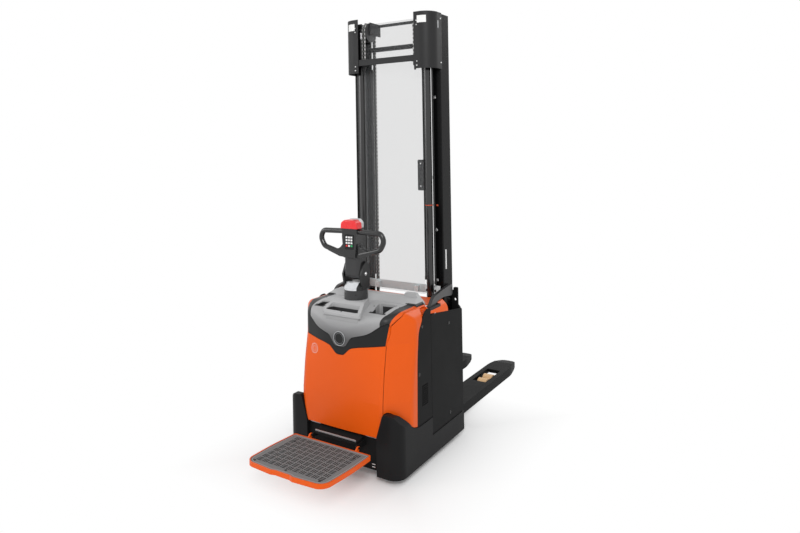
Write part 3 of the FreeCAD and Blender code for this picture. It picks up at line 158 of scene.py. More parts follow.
def blend_colour(tree, factor, first, second):
    """The first colour at factor nought, the second at one."""
    node = tree.nodes.new("ShaderNodeMix")
    node.data_type = "RGBA"
    for index, term in ((0, factor), (6, first), (7, second)):
        socket = node.inputs[index]
        if isinstance(term, (int, float, tuple)):
            socket.default_value = term if not isinstance(term, tuple) else (*term, 1.0)[:4]
        else:
            link(tree, term, socket)
    return node.outputs[2]


def new_material(name):
    """A material with its tree and its shader."""
    material = bpy.data.materials.new(name)
    material.use_nodes = True
    return material, material.node_tree, material.node_tree.nodes["Principled BSDF"]


# ---------------------------------------------------------------- node groups

BEVEL_SAMPLES = 4
WEAR_AND_HIGHLIGHT_GAIN = 9.0
BARE_OF_DUST = 0.35


def make_edge_wear_and_highlight():
    """Mask of the sharp edges, broken up by a fine noise: for wear, and on the mast for a painted highlight.
    """
    tree, source, result = new_group(
        "edge wear", [("Width", FLOAT, 0.0015), ("Amount", FLOAT, 0.5)], [("Mask", FLOAT)])
    bevel = add(tree, "ShaderNodeBevel", samples=BEVEL_SAMPLES)
    link(tree, source.outputs["Width"], bevel.inputs["Radius"])
    plain = add(tree, "ShaderNodeNewGeometry")
    turn = add(tree, "ShaderNodeVectorMath", operation="DOT_PRODUCT")
    link(tree, bevel.outputs[0], turn.inputs[0])
    link(tree, plain.outputs["Normal"], turn.inputs[1])
    sharp = minus(tree, 1.0, turn.outputs["Value"])
    noise = object_noise(tree, Scale=90.0, Detail=3.0)
    broken = times(tree, sharp, times(tree, noise.outputs["Fac"], WEAR_AND_HIGHLIGHT_GAIN))
    link(tree, times(tree, broken, source.outputs["Amount"], clamp=True), result.inputs["Mask"])
    return tree


def make_grain():
    """Fine surface grain: a height for bump and a slow patchiness for colour and gloss."""
    tree, source, result = new_group(
        "surface grain", [("Grain Size", FLOAT, 900.0), ("Patch Size", FLOAT, 6.0)],
        [("Height", FLOAT), ("Patches", FLOAT)])
    for size, target, look in (("Grain Size", "Height", {"Detail": 2.0, "Roughness": 0.6}),
                               ("Patch Size", "Patches", {"Detail": 4.0, "Roughness": 0.55})):
        noise = object_noise(tree, **look)
        link(tree, source.outputs[size], noise.inputs["Scale"])
        link(tree, noise.outputs["Fac"], result.inputs[target])
    return tree


def make_settled_dust():
    """Mask of dust lying on upward faces, in patches."""
    tree, source, result = new_group("settled dust", [("Amount", FLOAT, 0.3)], [("Mask", FLOAT)])
    normal = axes_of(tree, add(tree, "ShaderNodeNewGeometry").outputs["Normal"])
    noise = object_noise(tree, Scale=14.0, Detail=6.0, Roughness=0.65)
    upward = larger(tree, normal["Z"], 0.0)
    patchy = times(tree, upward, minus(tree, noise.outputs["Fac"], BARE_OF_DUST, clamp=True))
    link(tree, times(tree, patchy, source.outputs["Amount"], clamp=True), result.inputs["Mask"])
    return tree


def make_zone():
    """Mask of the part of a piece that lies between two corners."""
    tree, source, result = new_group(
        "zone", [("Low", VECTOR, (-1.0, -1.0, -1.0)), ("High", VECTOR, (1.0, 1.0, 1.0))],
        [("Mask", FLOAT)])
    corners = (object_place(tree), source.outputs["Low"], source.outputs["High"])
    mask = 1.0
    for spot, low, high in zip(*(axes_of(tree, corner) for corner in corners)):
        mask = times(tree, beyond(tree, spot, low), mask)
        mask = times(tree, math_node(tree, "LESS_THAN", spot, high), mask)
    link(tree, mask, result.inputs["Mask"])
    return tree


def make_chain_links():
    """Leaf chain drawn along z: rows of pins, with the plates' gaps between them."""
    plate_share, waist_from, waist_half, pin_relief = 0.36, 0.24, 0.0060, 0.8
    tree, source, result = new_group(
        "chain links", [("Pitch", FLOAT, 0.0254), ("Plate", FLOAT, 0.0044), ("Centre", FLOAT, 0.195)],
        [("Pins", FLOAT), ("Waists", FLOAT), ("Height", FLOAT)])
    x, _, z = axes_of(tree, object_place(tree))

    def from_middle(spot, step):
        """How far a spot is from the middle of its step, as a share of the step."""
        row = math_node(tree, "FRACT", math_node(tree, "DIVIDE", spot, source.outputs[step]))
        return size_of(tree, minus(tree, row, 0.5))

    away = from_middle(z, "Pitch")
    pins = minus(tree, 1.0, times(tree, away, 4.0), clamp=True)
    plates = math_node(tree, "LESS_THAN", from_middle(x, "Plate"), plate_share)
    aside = minus(tree, size_of(tree, x), source.outputs["Centre"])
    edge = beyond(tree, size_of(tree, aside), waist_half)
    link(tree, times(tree, edge, beyond(tree, away, waist_from)), result.inputs["Waists"])
    link(tree, times(tree, pins, plates), result.inputs["Pins"])
    link(tree, plus(tree, plates, times(tree, pins, pin_relief)), result.inputs["Height"])
    return tree


EDGE_WEAR_AND_HIGHLIGHT = make_edge_wear_and_highlight()
GRAIN = make_grain()
DUST = make_settled_dust()
ZONE = make_zone()
CHAIN_LINKS = make_chain_links()


# ---------------------------------------------------------------- colour zones and painted shade

PAST_SIDE = 0.4
BIN = ((-0.112, -0.716, 0.83), (0.112, -0.655, 0.902))
TRAYS = (((0.140, -0.650, 0.83), (0.250, -0.495, 0.893)),
         ((-0.250, -0.660, 0.83), (-0.180, -0.570, 0.893)))


def zone_mask(tree, low, high):
    """Mask of one zone of a piece, placed in its material."""
    return place_group(tree, ZONE, Low=low, High=high).outputs["Mask"]


def squared_above(tree, height):
    """Square of what is above nought."""
    return math_node(tree, "POWER", larger(tree, height, 0.0), 2.0)


def painted_shoulder_shade(tree):
    """Painted shade: a dark strip that runs back from the band along both shoulders of the console."""
    bend_from, half_width, bend = -0.60, 0.268, 2.4
    x, y, _ = axes_of(tree, object_place(tree))
    ahead = squared_above(tree, minus(tree, bend_from, y))
    inner = minus(tree, half_width, times(tree, ahead, bend))
    return times(tree, beyond(tree, size_of(tree, x), inner),
                 zone_mask(tree, (-PAST_SIDE, -0.75, 0.70), (PAST_SIDE, -0.36, 0.912)))


def orange_lip(tree):
    """Orange edge of the hood side, which laps over the console's outer shoulder."""
    foot, lean, bend_from, bend = 0.1675, 0.15, 0.84, 4.0
    x, _, z = axes_of(tree, object_place(tree))
    line = times(tree, squared_above(tree, minus(tree, z, bend_from)), bend)
    line = plus(tree, line, times(tree, z, lean))
    return times(tree, beyond(tree, size_of(tree, x), plus(tree, line, foot)),
                 zone_mask(tree, (-PAST_SIDE, -0.72, 0.728), (PAST_SIDE, -0.445, 0.93)))


def painted_low_shade(tree):
    """Painted shade: the lower part of the console darkens towards the band."""
    fade_top, fade = 0.900, 6.5
    _, _, z = axes_of(tree, object_place(tree))
    return times(tree, minus(tree, fade_top, z), fade, clamp=True)


def painted_bin_shade(tree):
    """Painted shade inside the bin and the two trays."""
    mask = zone_mask(tree, *BIN)
    for tray in TRAYS:
        mask = larger(tree, mask, zone_mask(tree, *tray))
    return mask


def turret_cone(tree):
    """Bright lower cone of the turret."""
    return zone_mask(tree, (-0.0555, -0.66, 0.9975), (0.042, -0.588, 1.0412))


def back_cap(tree):
    """Pale cap behind the red button."""
    return zone_mask(tree, (-0.07, -0.5842, 1.3575), (0.07, -0.54, 1.42))


# ---------------------------------------------------------------- finishes

DUST_COLOUR = (0.42, 0.40, 0.37)
GLOSS_SPREAD = 0.12
DUST_DULLING = 0.4


def surfaced(name, colour, rough, metal=0.0, wear_and_highlight_tone=None, wear_and_highlight=0.3, edge=0.0012, grain=900.0,
             relief=0.00008, patch=0.12, dust=0.25, coat=0.0, coat_rough=0.1, tint=None, gleam=0.3,
             zones=()):
    """A solid finish: base colour with slow variation, pale edges (wear, and on the mast a painted
    highlight), settled dust and grain relief.

    zones gives other colours to parts of the piece: a mask maker, a colour and a roughness each.
    """
    material, tree, shader = new_material(name)
    wear_and_highlight_tone = wear_and_highlight_tone or tuple(min(1.0, c * 1.5 + 0.05) for c in colour)
    tint = tint or tuple(c * 0.8 for c in colour)
    texture = place_group(tree, GRAIN, Grain_Size=grain)
    edges = place_group(tree, EDGE_WEAR_AND_HIGHLIGHT, Width=edge, Amount=wear_and_highlight).outputs["Mask"]
    dusty = place_group(tree, DUST, Amount=dust).outputs["Mask"]
    patches = texture.outputs["Patches"]

    base = blend_colour(tree, times(tree, patches, patch * 2.0, clamp=True), colour, tint)
    gloss = plus(tree, rough - GLOSS_SPREAD / 2, times(tree, patches, GLOSS_SPREAD))
    for mask_of, zone_colour, zone_rough in zones:
        mask = mask_of(tree)
        base = blend_colour(tree, mask, base, zone_colour)
        gloss = plus(tree, gloss, times(tree, mask, zone_rough - rough))
    base = blend_colour(tree, edges, base, wear_and_highlight_tone)
    base = blend_colour(tree, dusty, base, DUST_COLOUR)
    gloss = plus(tree, gloss, times(tree, dusty, DUST_DULLING), clamp=True)
    link(tree, base, shader.inputs["Base Color"])
    link(tree, gloss, shader.inputs["Roughness"])
    set_inputs(shader, Metallic=metal, Specular_IOR_Level=gleam, Coat_Weight=coat,
               Coat_Roughness=coat_rough)

    soft = add(tree, "ShaderNodeBevel", samples=BEVEL_SAMPLES, Radius=edge)
    bump = add(tree, "ShaderNodeBump", Strength=1.0, Distance=relief)
    link(tree, texture.outputs["Height"], bump.inputs["Height"])
    link(tree, soft.outputs[0], bump.inputs["Normal"])
    link(tree, bump.outputs[0], shader.inputs["Normal"])
    return material


def rough_by_patches(tree, shader, patches, low, spread):
    """Roughness from a low value up, by the slow patchiness."""
    link(tree, plus(tree, low, times(tree, patches, spread)), shader.inputs["Roughness"])


def chain_steel():
    """Oiled leaf chain: bright pin rows between dark plates."""
    plate, pin, waist = (0.006, 0.006, 0.006), (0.30, 0.30, 0.29), (0.62, 0.62, 0.61)
    material, tree, shader = new_material("oiled leaf chain")
    links = place_group(tree, CHAIN_LINKS)
    texture = place_group(tree, GRAIN, Grain_Size=500.0)
    tone = blend_colour(tree, links.outputs["Pins"], plate, pin)
    tone = blend_colour(tree, links.outputs["Waists"], tone, waist)
    link(tree, tone, shader.inputs["Base Color"])
    rough_by_patches(tree, shader, texture.outputs["Patches"], 0.32, 0.2)
    set_inputs(shader, Metallic=0.2, Specular_IOR_Level=0.2)
    bump = add(tree, "ShaderNodeBump", Strength=1.0, Distance=0.0016)
    link(tree, links.outputs["Height"], bump.inputs["Height"])
    link(tree, bump.outputs[0], shader.inputs["Normal"])
    return material


def clear_sheet():
    """Smoky clear plastic sheet with a faint haze."""
    haze, smoke = (0.21, 0.214, 0.218), (0.17, 0.174, 0.178)
    material, tree, shader = new_material("clear guard sheet")
    texture = place_group(tree, GRAIN, Grain_Size=40.0, Patch_Size=3.0)
    link(tree, blend_colour(tree, texture.outputs["Patches"], haze, smoke), shader.inputs["Base Color"])
    rough_by_patches(tree, shader, texture.outputs["Patches"], 0.10, 0.1)
    set_inputs(shader, Specular_IOR_Level=0.06, Alpha=0.16)
    return material


ORANGE_TONE, ORANGE_ROUGH = (0.76, 0.098, 0.003), 0.34
MOULDED_BLACK = (0.009, 0.0092, 0.0095)
LAP = [(orange_lip, ORANGE_TONE, ORANGE_ROUGH)]
CHARCOAL_LOOK = dict(colour=(0.0095, 0.0097, 0.0099), rough=0.55, wear_and_highlight=0.16, wear_and_highlight_tone=(0.06, 0.06, 0.062),
                     gleam=0.07, grain=700.0, relief=0.00010, dust=0.03)
# The band's near-black colour is painted shade where the console's front curves under; the same look also
# makes the plain dark moulding finish.
BAND_LOOK = dict(colour=(0.0125, 0.013, 0.0135), rough=0.40, wear_and_highlight=0.12, grain=520.0, dust=0.01, gleam=0.2)

ORANGE = surfaced("orange powder coat", ORANGE_TONE, ORANGE_ROUGH, wear_and_highlight_tone=(0.86, 0.22, 0.06), wear_and_highlight=0.10,
                  gleam=0.22, tint=(0.70, 0.084, 0.002), relief=0.00005, dust=0.01)
CHARCOAL = surfaced("charcoal powder coat", **CHARCOAL_LOOK)
FRAME_LAPPED = surfaced("frame paint with lap", **CHARCOAL_LOOK, zones=LAP)
COVER_BLACK = surfaced("satin cover paint", (0.022, 0.022, 0.0225), 0.45, wear_and_highlight=0.2,
                       wear_and_highlight_tone=(0.08, 0.08, 0.082), gleam=0.2, grain=700.0, dust=0.02)
# Mast black: the wide, pale edge tone is a painted highlight along the rails' edges, not wear.
MAST_BLACK = surfaced("mast black paint", (0.0030, 0.0031, 0.0033), 0.26, wear_and_highlight=0.9,
                      wear_and_highlight_tone=(0.22, 0.22, 0.225), dust=0.008, edge=0.0036, gleam=0.09)
CYLINDER_BLACK = surfaced("gloss cylinder paint", (0.004, 0.004, 0.0043), 0.16, wear_and_highlight=0.4,
                          wear_and_highlight_tone=(0.2, 0.2, 0.2), dust=0.01, gleam=0.75)
COWL_BLACK = surfaced("grained black moulding", (0.0085, 0.0085, 0.009), 0.5, wear_and_highlight=0.14,
                      wear_and_highlight_tone=(0.05, 0.05, 0.05), grain=420.0, relief=0.00016, dust=0.03, gleam=0.14)
# Console zones: painted shade low on the front, a painted-shade strip along both shoulders, painted shade
# inside the bin and trays, and the orange lap of the hood side.
CONSOLE_GREY = surfaced("console grey moulding", (0.43, 0.431, 0.435), 0.42, wear_and_highlight=0.1, grain=520.0,
                        relief=0.00012, patch=0.06, dust=0.03, gleam=0.3,
                        zones=[(painted_low_shade, (0.09, 0.09, 0.092), 0.40),
                               (painted_shoulder_shade, (0.016, 0.0165, 0.017), 0.40),
                               (painted_bin_shade, (0.03, 0.03, 0.031), 0.6), *LAP])
BAND_DARK = surfaced("band dark moulding", **BAND_LOOK)
# Painted shade: the console band's near-black finish stands for the shade under the console's front.
PAINTED_SHADE_BAND_LAPPED = surfaced("painted shade band with lap", **BAND_LOOK, zones=LAP)
GRIP_BLACK = surfaced("grip black moulding", MOULDED_BLACK, 0.30, wear_and_highlight=0.15, grain=600.0,
                      relief=0.00010, dust=0.02, gleam=0.4)
TURRET_BLACK = surfaced("turret black casting", MOULDED_BLACK, 0.32, wear_and_highlight=0.2, grain=500.0,
                        relief=0.00012, dust=0.02, gleam=0.4,
                        zones=[(turret_cone, (0.62, 0.63, 0.65), 0.22)])
HEAD_BLACK = surfaced("tiller head moulding", (0.007, 0.0072, 0.0075), 0.20, wear_and_highlight=0.35,
                      wear_and_highlight_tone=(0.14, 0.14, 0.145), grain=600.0, relief=0.00010, edge=0.0022, dust=0.01,
                      gleam=0.6, zones=[(back_cap, (0.55, 0.56, 0.57), 0.3)])
NECK_BLACK = surfaced("tiller neck moulding", (0.030, 0.030, 0.031), 0.30, wear_and_highlight=0.15, grain=600.0,
                      relief=0.00010, dust=0.02, gleam=0.4)
SAFETY_RED = surfaced("safety red moulding", (0.78, 0.018, 0.022), 0.26, wear_and_highlight_tone=(0.86, 0.12, 0.12),
                      wear_and_highlight=0.08, dust=0.02, coat=0.3, coat_rough=0.15, gleam=0.4)
BARE_STEEL = surfaced("ground steel", (0.55, 0.55, 0.56), 0.28, metal=1.0, wear_and_highlight=0.1, grain=300.0,
                      relief=0.00004, dust=0.02)
SHEAVE_IRON = surfaced("sheave iron", (0.03, 0.03, 0.031), 0.38, metal=0.2, wear_and_highlight=0.6,
                       wear_and_highlight_tone=(0.32, 0.32, 0.32), dust=0.0)
MAT_RUBBER = surfaced("grey rubber mat", (0.185, 0.190, 0.192), 0.8, wear_and_highlight=0.1, grain=260.0,
                      relief=0.0003, dust=0.05, gleam=0.2)
TREAD_RUBBER = surfaced("dark tread rubber", (0.006, 0.006, 0.006), 0.75, wear_and_highlight=0.1, grain=260.0,
                        relief=0.0002, dust=0.05, gleam=0.2)
EDGE_RUBBER = surfaced("pale mat edging", (0.36, 0.35, 0.34), 0.7, wear_and_highlight=0.1, grain=300.0,
                       relief=0.0002, dust=0.05)
ROLLER_TAN = surfaced("tan polyurethane", (0.72, 0.47, 0.25), 0.4, wear_and_highlight=0.05, dust=0.0, patch=0.2)
WHEEL_BLACK = surfaced("black rubber", (0.03, 0.03, 0.031), 0.7, wear_and_highlight=0.1, dust=0.06)
PLATE_WHITE = surfaced("blank white plate", (0.80, 0.80, 0.79), 0.45, wear_and_highlight=0.0, patch=0.03, dust=0.03)
TRIM_GREY = surfaced("brushed trim", (0.42, 0.43, 0.44), 0.35, metal=0.6, wear_and_highlight=0.1, grain=400.0, dust=0.02)
GUARD_RAIL = surfaced("pale guard rail paint", (0.86, 0.93, 0.94), 0.5, wear_and_highlight=0.1, dust=0.0)
KEY_CAPS = {tag: surfaced(f"{tag} key cap", colour, 0.4, wear_and_highlight=0.03, dust=0.0, patch=0.03)
            for tag, colour in (("white", (0.80, 0.80, 0.80)), ("red", (0.62, 0.03, 0.03)),
                                ("green", (0.03, 0.36, 0.12)))}
CLIP_RED = surfaced("red oxide clip", (0.55, 0.075, 0.03), 0.5, wear_and_highlight=0.1, dust=0.0)
BLACK_ZINC = surfaced("black zinc fastener", (0.02, 0.02, 0.021), 0.35, metal=0.4, wear_and_highlight=0.4,
                      wear_and_highlight_tone=(0.3, 0.3, 0.3), dust=0.0)
BRIGHT_ZINC = surfaced("bright zinc fastener", (0.60, 0.60, 0.60), 0.3, metal=0.85, wear_and_highlight=0.2, dust=0.0)

FINISHES = {
    "orange_paint": ORANGE,
    "dark_paint": CHARCOAL,
    "mast_black": MAST_BLACK,
    "cowl_plastic": COWL_BLACK,
    "console_grey": CONSOLE_GREY,
    "band_dark": BAND_DARK,
    "handle_black": GRIP_BLACK,
    "red_plastic": SAFETY_RED,
    "steel": BARE_STEEL,
    "chain_steel": chain_steel(),
    "clear_sheet": clear_sheet(),
    "mat_rubber": MAT_RUBBER,
    "roller_tan": ROLLER_TAN,
    "wheel_black": WHEEL_BLACK,
    "battery_case": BAND_DARK,
}
OWN_FINISH = {
    "tiller_turret": TURRET_BLACK,
    "tiller_handle": HEAD_BLACK,
    "tiller_arm": NECK_BLACK,
    "tiller_drum": NECK_BLACK,
    "grab_handles": NECK_BLACK,
    "chain_sheaves": SHEAVE_IRON,
    "guard_bar": GUARD_RAIL,
    "mast_cover_right": COVER_BLACK,
    "mast_cover_left": COVER_BLACK,
    "anchor_bar": COVER_BLACK,
    "cable_plate": COVER_BLACK,
    "lift_cylinders": CYLINDER_BLACK,
    # The console band gets the painted-shade band finish.
    "console_band": PAINTED_SHADE_BAND_LAPPED,
    "hood_frame": FRAME_LAPPED,
}
for entry in frame["record"]["subparts"]:
    piece = nodes[entry["node"]]
    piece.data.materials.clear()
    piece.data.materials.append(OWN_FINISH.get(entry["node"], FINISHES[entry["material_slot"]]))


# ---------------------------------------------------------------- shape helpers

MERGE_WITHIN = 0.00001
CAST_REACH = 0.3
PLATE_CELLS = 12
PLATE_LIFT = 0.0004
PLATE_THICK = 0.0008


def finish_piece(name, shape, body, finish):
    """Turn a bmesh into a named piece that rides on a body."""
    bmesh.ops.remove_doubles(shape, verts=shape.verts, dist=MERGE_WITHIN)
    bmesh.ops.recalc_face_normals(shape, faces=shape.faces)
    mesh = bpy.data.meshes.new(name)
    shape.to_mesh(mesh)
    shape.free()
    piece = bpy.data.objects.new(name, mesh)
    bpy.context.scene.collection.objects.link(piece)
    mesh.materials.append(finish)
    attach(piece, body)
    return piece


def facing(seat, direction):
    """A place at a seat with its z axis along a direction."""
    turn = Vector(UP).rotation_difference(Vector(direction).normalized())
    return Matrix.Translation(seat) @ turn.to_matrix().to_4x4()


def raised(place, height):
    """A place moved up along its own z axis."""
    return place @ Matrix.Translation((0.0, 0.0, height))


def ease(shape, edges, width):
    """Round edges over a width."""
    bmesh.ops.bevel(shape, geom=edges, offset=width, segments=2, profile=0.5, affect="EDGES", material=-1)


def block(shape, low, high, easing, place=Matrix()):
    """A block between two corners with its edges eased."""
    size = [b - a for a, b in zip(low, high)]
    middle = [(a + b) / 2 for a, b in zip(low, high)]
    matrix = place @ Matrix.Translation(middle) @ Matrix.Diagonal((*size, 1.0))
    verts = bmesh.ops.create_cube(shape, size=1.0, matrix=matrix)["verts"]
    ease(shape, list({edge for vert in verts for edge in vert.link_edges}), easing)


def side_block(shape, side, low, high, easing):
    """A block given by its corners on the right, set on one side of the truck."""
    near, far = sorted((side * low[0], side * high[0]))
    block(shape, (near, *low[1:]), (far, *high[1:]), easing)


def standing_cone(shape, place, sides, lower, upper, height):
    """A cone or disc that stands on its place; gives its points."""
    return bmesh.ops.create_cone(
        shape, cap_ends=True, cap_tris=False, segments=sides, radius1=lower, radius2=upper, depth=height,
        matrix=raised(place, height / 2))["verts"]


def puck(shape, place, radius, height, easing, sides=32):
    """A round or sided disc standing on its seat, its upper rim eased."""
    verts = standing_cone(shape, place, sides, radius, radius, height)
    inverse = place.inverted()
    upper = [v for v in verts if (inverse @ v.co).z > height / 2]
    rim = [e for e in {e for v in upper for e in v.link_edges} if all(v in upper for v in e.verts)]
    ease(shape, rim, easing)


def socket_screw(shape, seat, direction, radius, height):
    """A button-head screw with a hexagon socket."""
    place = facing(seat, direction)
    verts = standing_cone(shape, place, 24, radius, radius * 0.72, height)
    inverse = place.inverted()
    top = next(f for v in verts for f in v.link_faces
               if all((inverse @ w.co).z > height * 0.9 for w in f.verts))
    bmesh.ops.inset_region(shape, faces=[top], thickness=radius * 0.30)
    bmesh.ops.inset_region(shape, faces=[top], thickness=0.0001, depth=-height * 0.6)


def hex_bolt(shape, seat, direction, across, height):
    """A hexagon bolt head on its washer."""
    washer = 0.0015
    place = facing(seat, direction)
    puck(shape, place, across * 0.82, washer, 0.0004)
    puck(shape, raised(place, washer), across * 0.577, height, 0.0006, sides=6)


def torus(shape, place, radius, tube, turns=64, sides=10):
    """A closed ring: a small circle spun about its axis."""
    start = place @ Matrix.Translation((radius, 0.0, 0.0)) @ Matrix.Rotation(math.radians(90.0), 4, "X")
    ring = bmesh.ops.create_circle(shape, cap_ends=False, segments=sides, radius=tube, matrix=start)["verts"]
    edges = [e for e in {e for v in ring for e in v.link_edges}]
    bmesh.ops.spin(shape, geom=ring + edges, cent=place.translation, axis=place.to_3x3() @ Vector(UP),
                   angle=math.tau, steps=turns, use_merge=True, use_duplicate=False)


def skin_of(name):
    """Search tree of a rigid piece's surface."""
    mesh = nodes[name].data
    return BVHTree.FromPolygons([v.co for v in mesh.vertices], [tuple(p.vertices) for p in mesh.polygons])


def lay_on(shape, tree, direction, lift):
    """Drop every point along a direction onto a surface, and stop short of it by a lift."""
    way = Vector(direction).normalized()
    for vert in shape.verts:
        spot, _, _, _ = tree.ray_cast(vert.co - way * CAST_REACH, way)
        if spot is not None:
            vert.co = spot - way * lift


def plate_on(name, node, body, finish, middle, width, height, direction):
    """A thin plate that follows a piece's surface, laid along a direction."""
    shape = bmesh.new()
    side = Vector(UP).cross(Vector(direction)).normalized()
    turn = Matrix((side, UP, tuple(-c for c in direction))).transposed().to_4x4()
    bmesh.ops.create_grid(
        shape, x_segments=PLATE_CELLS, y_segments=PLATE_CELLS, size=0.5,
        matrix=Matrix.Translation(middle) @ turn @ Matrix.Diagonal((width, height, 1.0, 1.0)))
    lay_on(shape, skin_of(node), direction, PLATE_LIFT)
    bmesh.ops.recalc_face_normals(shape, faces=shape.faces)
    bmesh.ops.solidify(shape, geom=shape.faces[:], thickness=PLATE_THICK)
    return finish_piece(name, shape, body, finish)


# ---------------------------------------------------------------- rider platform: tread, edging and screws

mat = skin_of("platform_mat")
mat_low, mat_high = (Vector(corner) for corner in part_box("platform_mat"))


def mat_height(x, y):
    """Height of the mat's top, or None beside it."""
    spot, _, _, _ = mat.ray_cast(Vector((x, y, 0.5)), Vector(DOWN))
    return spot.z if spot is not None else None


MAT_FRONT, MAT_BACK = mat_low.y + 0.018, mat_high.y - 0.020
RAKE_LINE = 0.1
rake = math.atan2(mat_height(RAKE_LINE, MAT_FRONT) - mat_height(RAKE_LINE, MAT_BACK), MAT_BACK - MAT_FRONT)
TREAD_CELL, TREAD_MARGIN = 0.0415, 0.022
DASH_LINES = (-0.0125, 0.0, 0.0125)
DASH_LOW, DASH_HIGH = (-0.0158, -0.0023, -0.0004), (0.0158, 0.0023, 0.0013)
MAT_SCREWS = ((-0.222, -1.190), (-0.006, -1.186), (0.212, -1.184), (-0.198, -0.900), (0.206, -0.896))


def mat_place(x, y):
    """A place on the mat, tipped with its rake."""
    return Matrix.Translation((x, y, mat_height(x, y))) @ Matrix.Rotation(-rake, 4, "X")


def mat_tread():
    """Rows of short dashes in a basket weave over the mat."""
    shape = bmesh.new()
    half = int((mat_high.x - TREAD_MARGIN) / TREAD_CELL)
    for row in range(int((MAT_BACK - MAT_FRONT) / TREAD_CELL)):
        y = MAT_BACK - (row + 0.5) * TREAD_CELL
        for column in range(-half, half + 1):
            x = column * TREAD_CELL
            outer = mat_height(x + math.copysign(TREAD_MARGIN, x), y - 0.020)
            if outer is None or mat_height(x, y) is None:
                continue
            place = mat_place(x, y)
            for line in DASH_LINES:
                low = (DASH_LOW[0], line + DASH_LOW[1], DASH_LOW[2])
                high = (DASH_HIGH[0], line + DASH_HIGH[1], DASH_HIGH[2])
                if (row + column) % 2:
                    low, high = (low[1], low[0], low[2]), (high[1], high[0], high[2])
                block(shape, low, high, 0.0005, place)
    finish_piece("mat_tread", shape, "platform", TREAD_RUBBER)


def mat_edging():
    """Pale raised line that follows the mat's outline."""
    margin, width, height = 0.0075, 0.0032, 0.0011
    shape = bmesh.new()
    shape.from_mesh(nodes["platform_mat"].data)
    bmesh.ops.remove_doubles(shape, verts=shape.verts, dist=MERGE_WITHIN * 2)
    bmesh.ops.delete(shape, geom=[f for f in shape.faces if f.normal.z < 0.9], context="FACES")
    outer = bmesh.ops.inset_region(shape, faces=shape.faces[:], thickness=margin, use_boundary=True)["faces"]
    bmesh.ops.delete(shape, geom=outer, context="FACES")
    line = bmesh.ops.inset_region(shape, faces=shape.faces[:], thickness=width, use_boundary=True)["faces"]
    bmesh.ops.delete(shape, geom=[f for f in shape.faces if f not in set(line)], context="FACES")
    bmesh.ops.solidify(shape, geom=shape.faces[:], thickness=-height)
    finish_piece("mat_edging", shape, "platform", EDGE_RUBBER)


def mat_screws():
    """Screws that hold the mat to its pan."""
    shape = bmesh.new()
    for x, y in MAT_SCREWS:
        seat = Vector((x, y, mat_height(x, y)))
        socket_screw(shape, seat, (0.0, math.sin(rake), math.cos(rake)), 0.0085, 0.0032)
    finish_piece("mat_screws", shape, "platform", BLACK_ZINC)


# ---------------------------------------------------------------- step ledge and bulkhead trim

def bulkhead_trim_and_highlight():
    """Bright nosing of the step ledge, and on each side a thin grey strip that is a painted highlight along
    the bulkhead's top edge.
    """
    low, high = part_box("step_ledge")
    shape = bmesh.new()
    block(shape, (low[0] + 0.004, low[1] - 0.0012, high[2] - 0.010),
          (high[0] - 0.004, low[1] + 0.004, high[2] - 0.0015), 0.001)
    # Painted highlight: a thin grey strip on each side, where the bulkhead's top edge catches the light.
    for side in SIDES:
        side_block(shape, side, (0.160, -0.7245, 0.2255), (0.236, -0.7215, 0.2300), 0.0008)
    finish_piece("bulkhead_trim_and_highlight", shape, "chassis", TRIM_GREY)


def bulkhead_slots():
    """Two short pale slots low on each side of the bulkhead."""
    half_height = 0.0022
    shape = bmesh.new()
    for side in SIDES:
        for z in (0.066, 0.081):
            side_block(shape, side, (0.200, -0.7228, z - half_height),
                       (0.222, -0.7205, z + half_height), 0.001)
    finish_piece("bulkhead_slots", shape, "chassis", PLATE_WHITE)


# ---------------------------------------------------------------- console badge, ring mark and screws

AHEAD_OF_ALL = -1.2
BADGE_RADIUS = 0.0385
RING_MARK_Y = -0.9
CONSOLE_SCREWS = ((0.0, -0.7195), (0.118, -0.560), (-0.118, -0.560), (0.268, -0.520), (-0.268, -0.520),
                  (0.262, -0.440), (-0.262, -0.440))
console_skin = skin_of("console")
panel_skin = skin_of("front_panel")


def console_badge():
    """Blank round badge with a rim and a fine inner ring."""
    seat, _, _, _ = console_skin.ray_cast(Vector((0.0, AHEAD_OF_ALL, 0.748)), Vector(TO_FORKS))
    place = facing(seat + Vector((0.0, 0.0008, 0.0)), TO_RIDER)
    shape = bmesh.new()
    puck(shape, place, BADGE_RADIUS, 0.0036, 0.001, sides=64)
    finish_piece("badge_disc", shape, "chassis", BAND_DARK)
    shape = bmesh.new()
    torus(shape, raised(place, 0.0026), BADGE_RADIUS, 0.0022)
    torus(shape, raised(place, 0.0032), 0.0290, 0.0007, sides=8)
    finish_piece("badge_rings", shape, "chassis", TRIM_GREY)


def panel_ring_mark():
    """Two plain rings, flattened onto the orange panel."""
    flatness = 0.35
    shape = bmesh.new()
    place = facing((-0.200, RING_MARK_Y, 0.658), TO_RIDER)
    for radius, tube in ((0.0265, 0.0013), (0.0140, 0.0009)):
        torus(shape, place, radius, tube, sides=6)
    for vert in shape.verts:
        seat, _, _, _ = panel_skin.ray_cast(Vector((vert.co.x, AHEAD_OF_ALL, vert.co.z)), Vector(TO_FORKS))
        vert.co.y = seat.y + (vert.co.y - RING_MARK_Y) * flatness
    finish_piece("panel_ring_mark", shape, "chassis", PLATE_WHITE)


def console_screws():
    """Screws on the console's top."""
    shape = bmesh.new()
    for x, y in CONSOLE_SCREWS:
        seat, normal, _, _ = console_skin.ray_cast(Vector((x, y, 1.2)), Vector(DOWN))
        if seat is not None:
            socket_screw(shape, seat, normal, 0.0045, 0.0016)
    finish_piece("console_screws", shape, "chassis", BLACK_ZINC)


# ---------------------------------------------------------------- tiller fittings

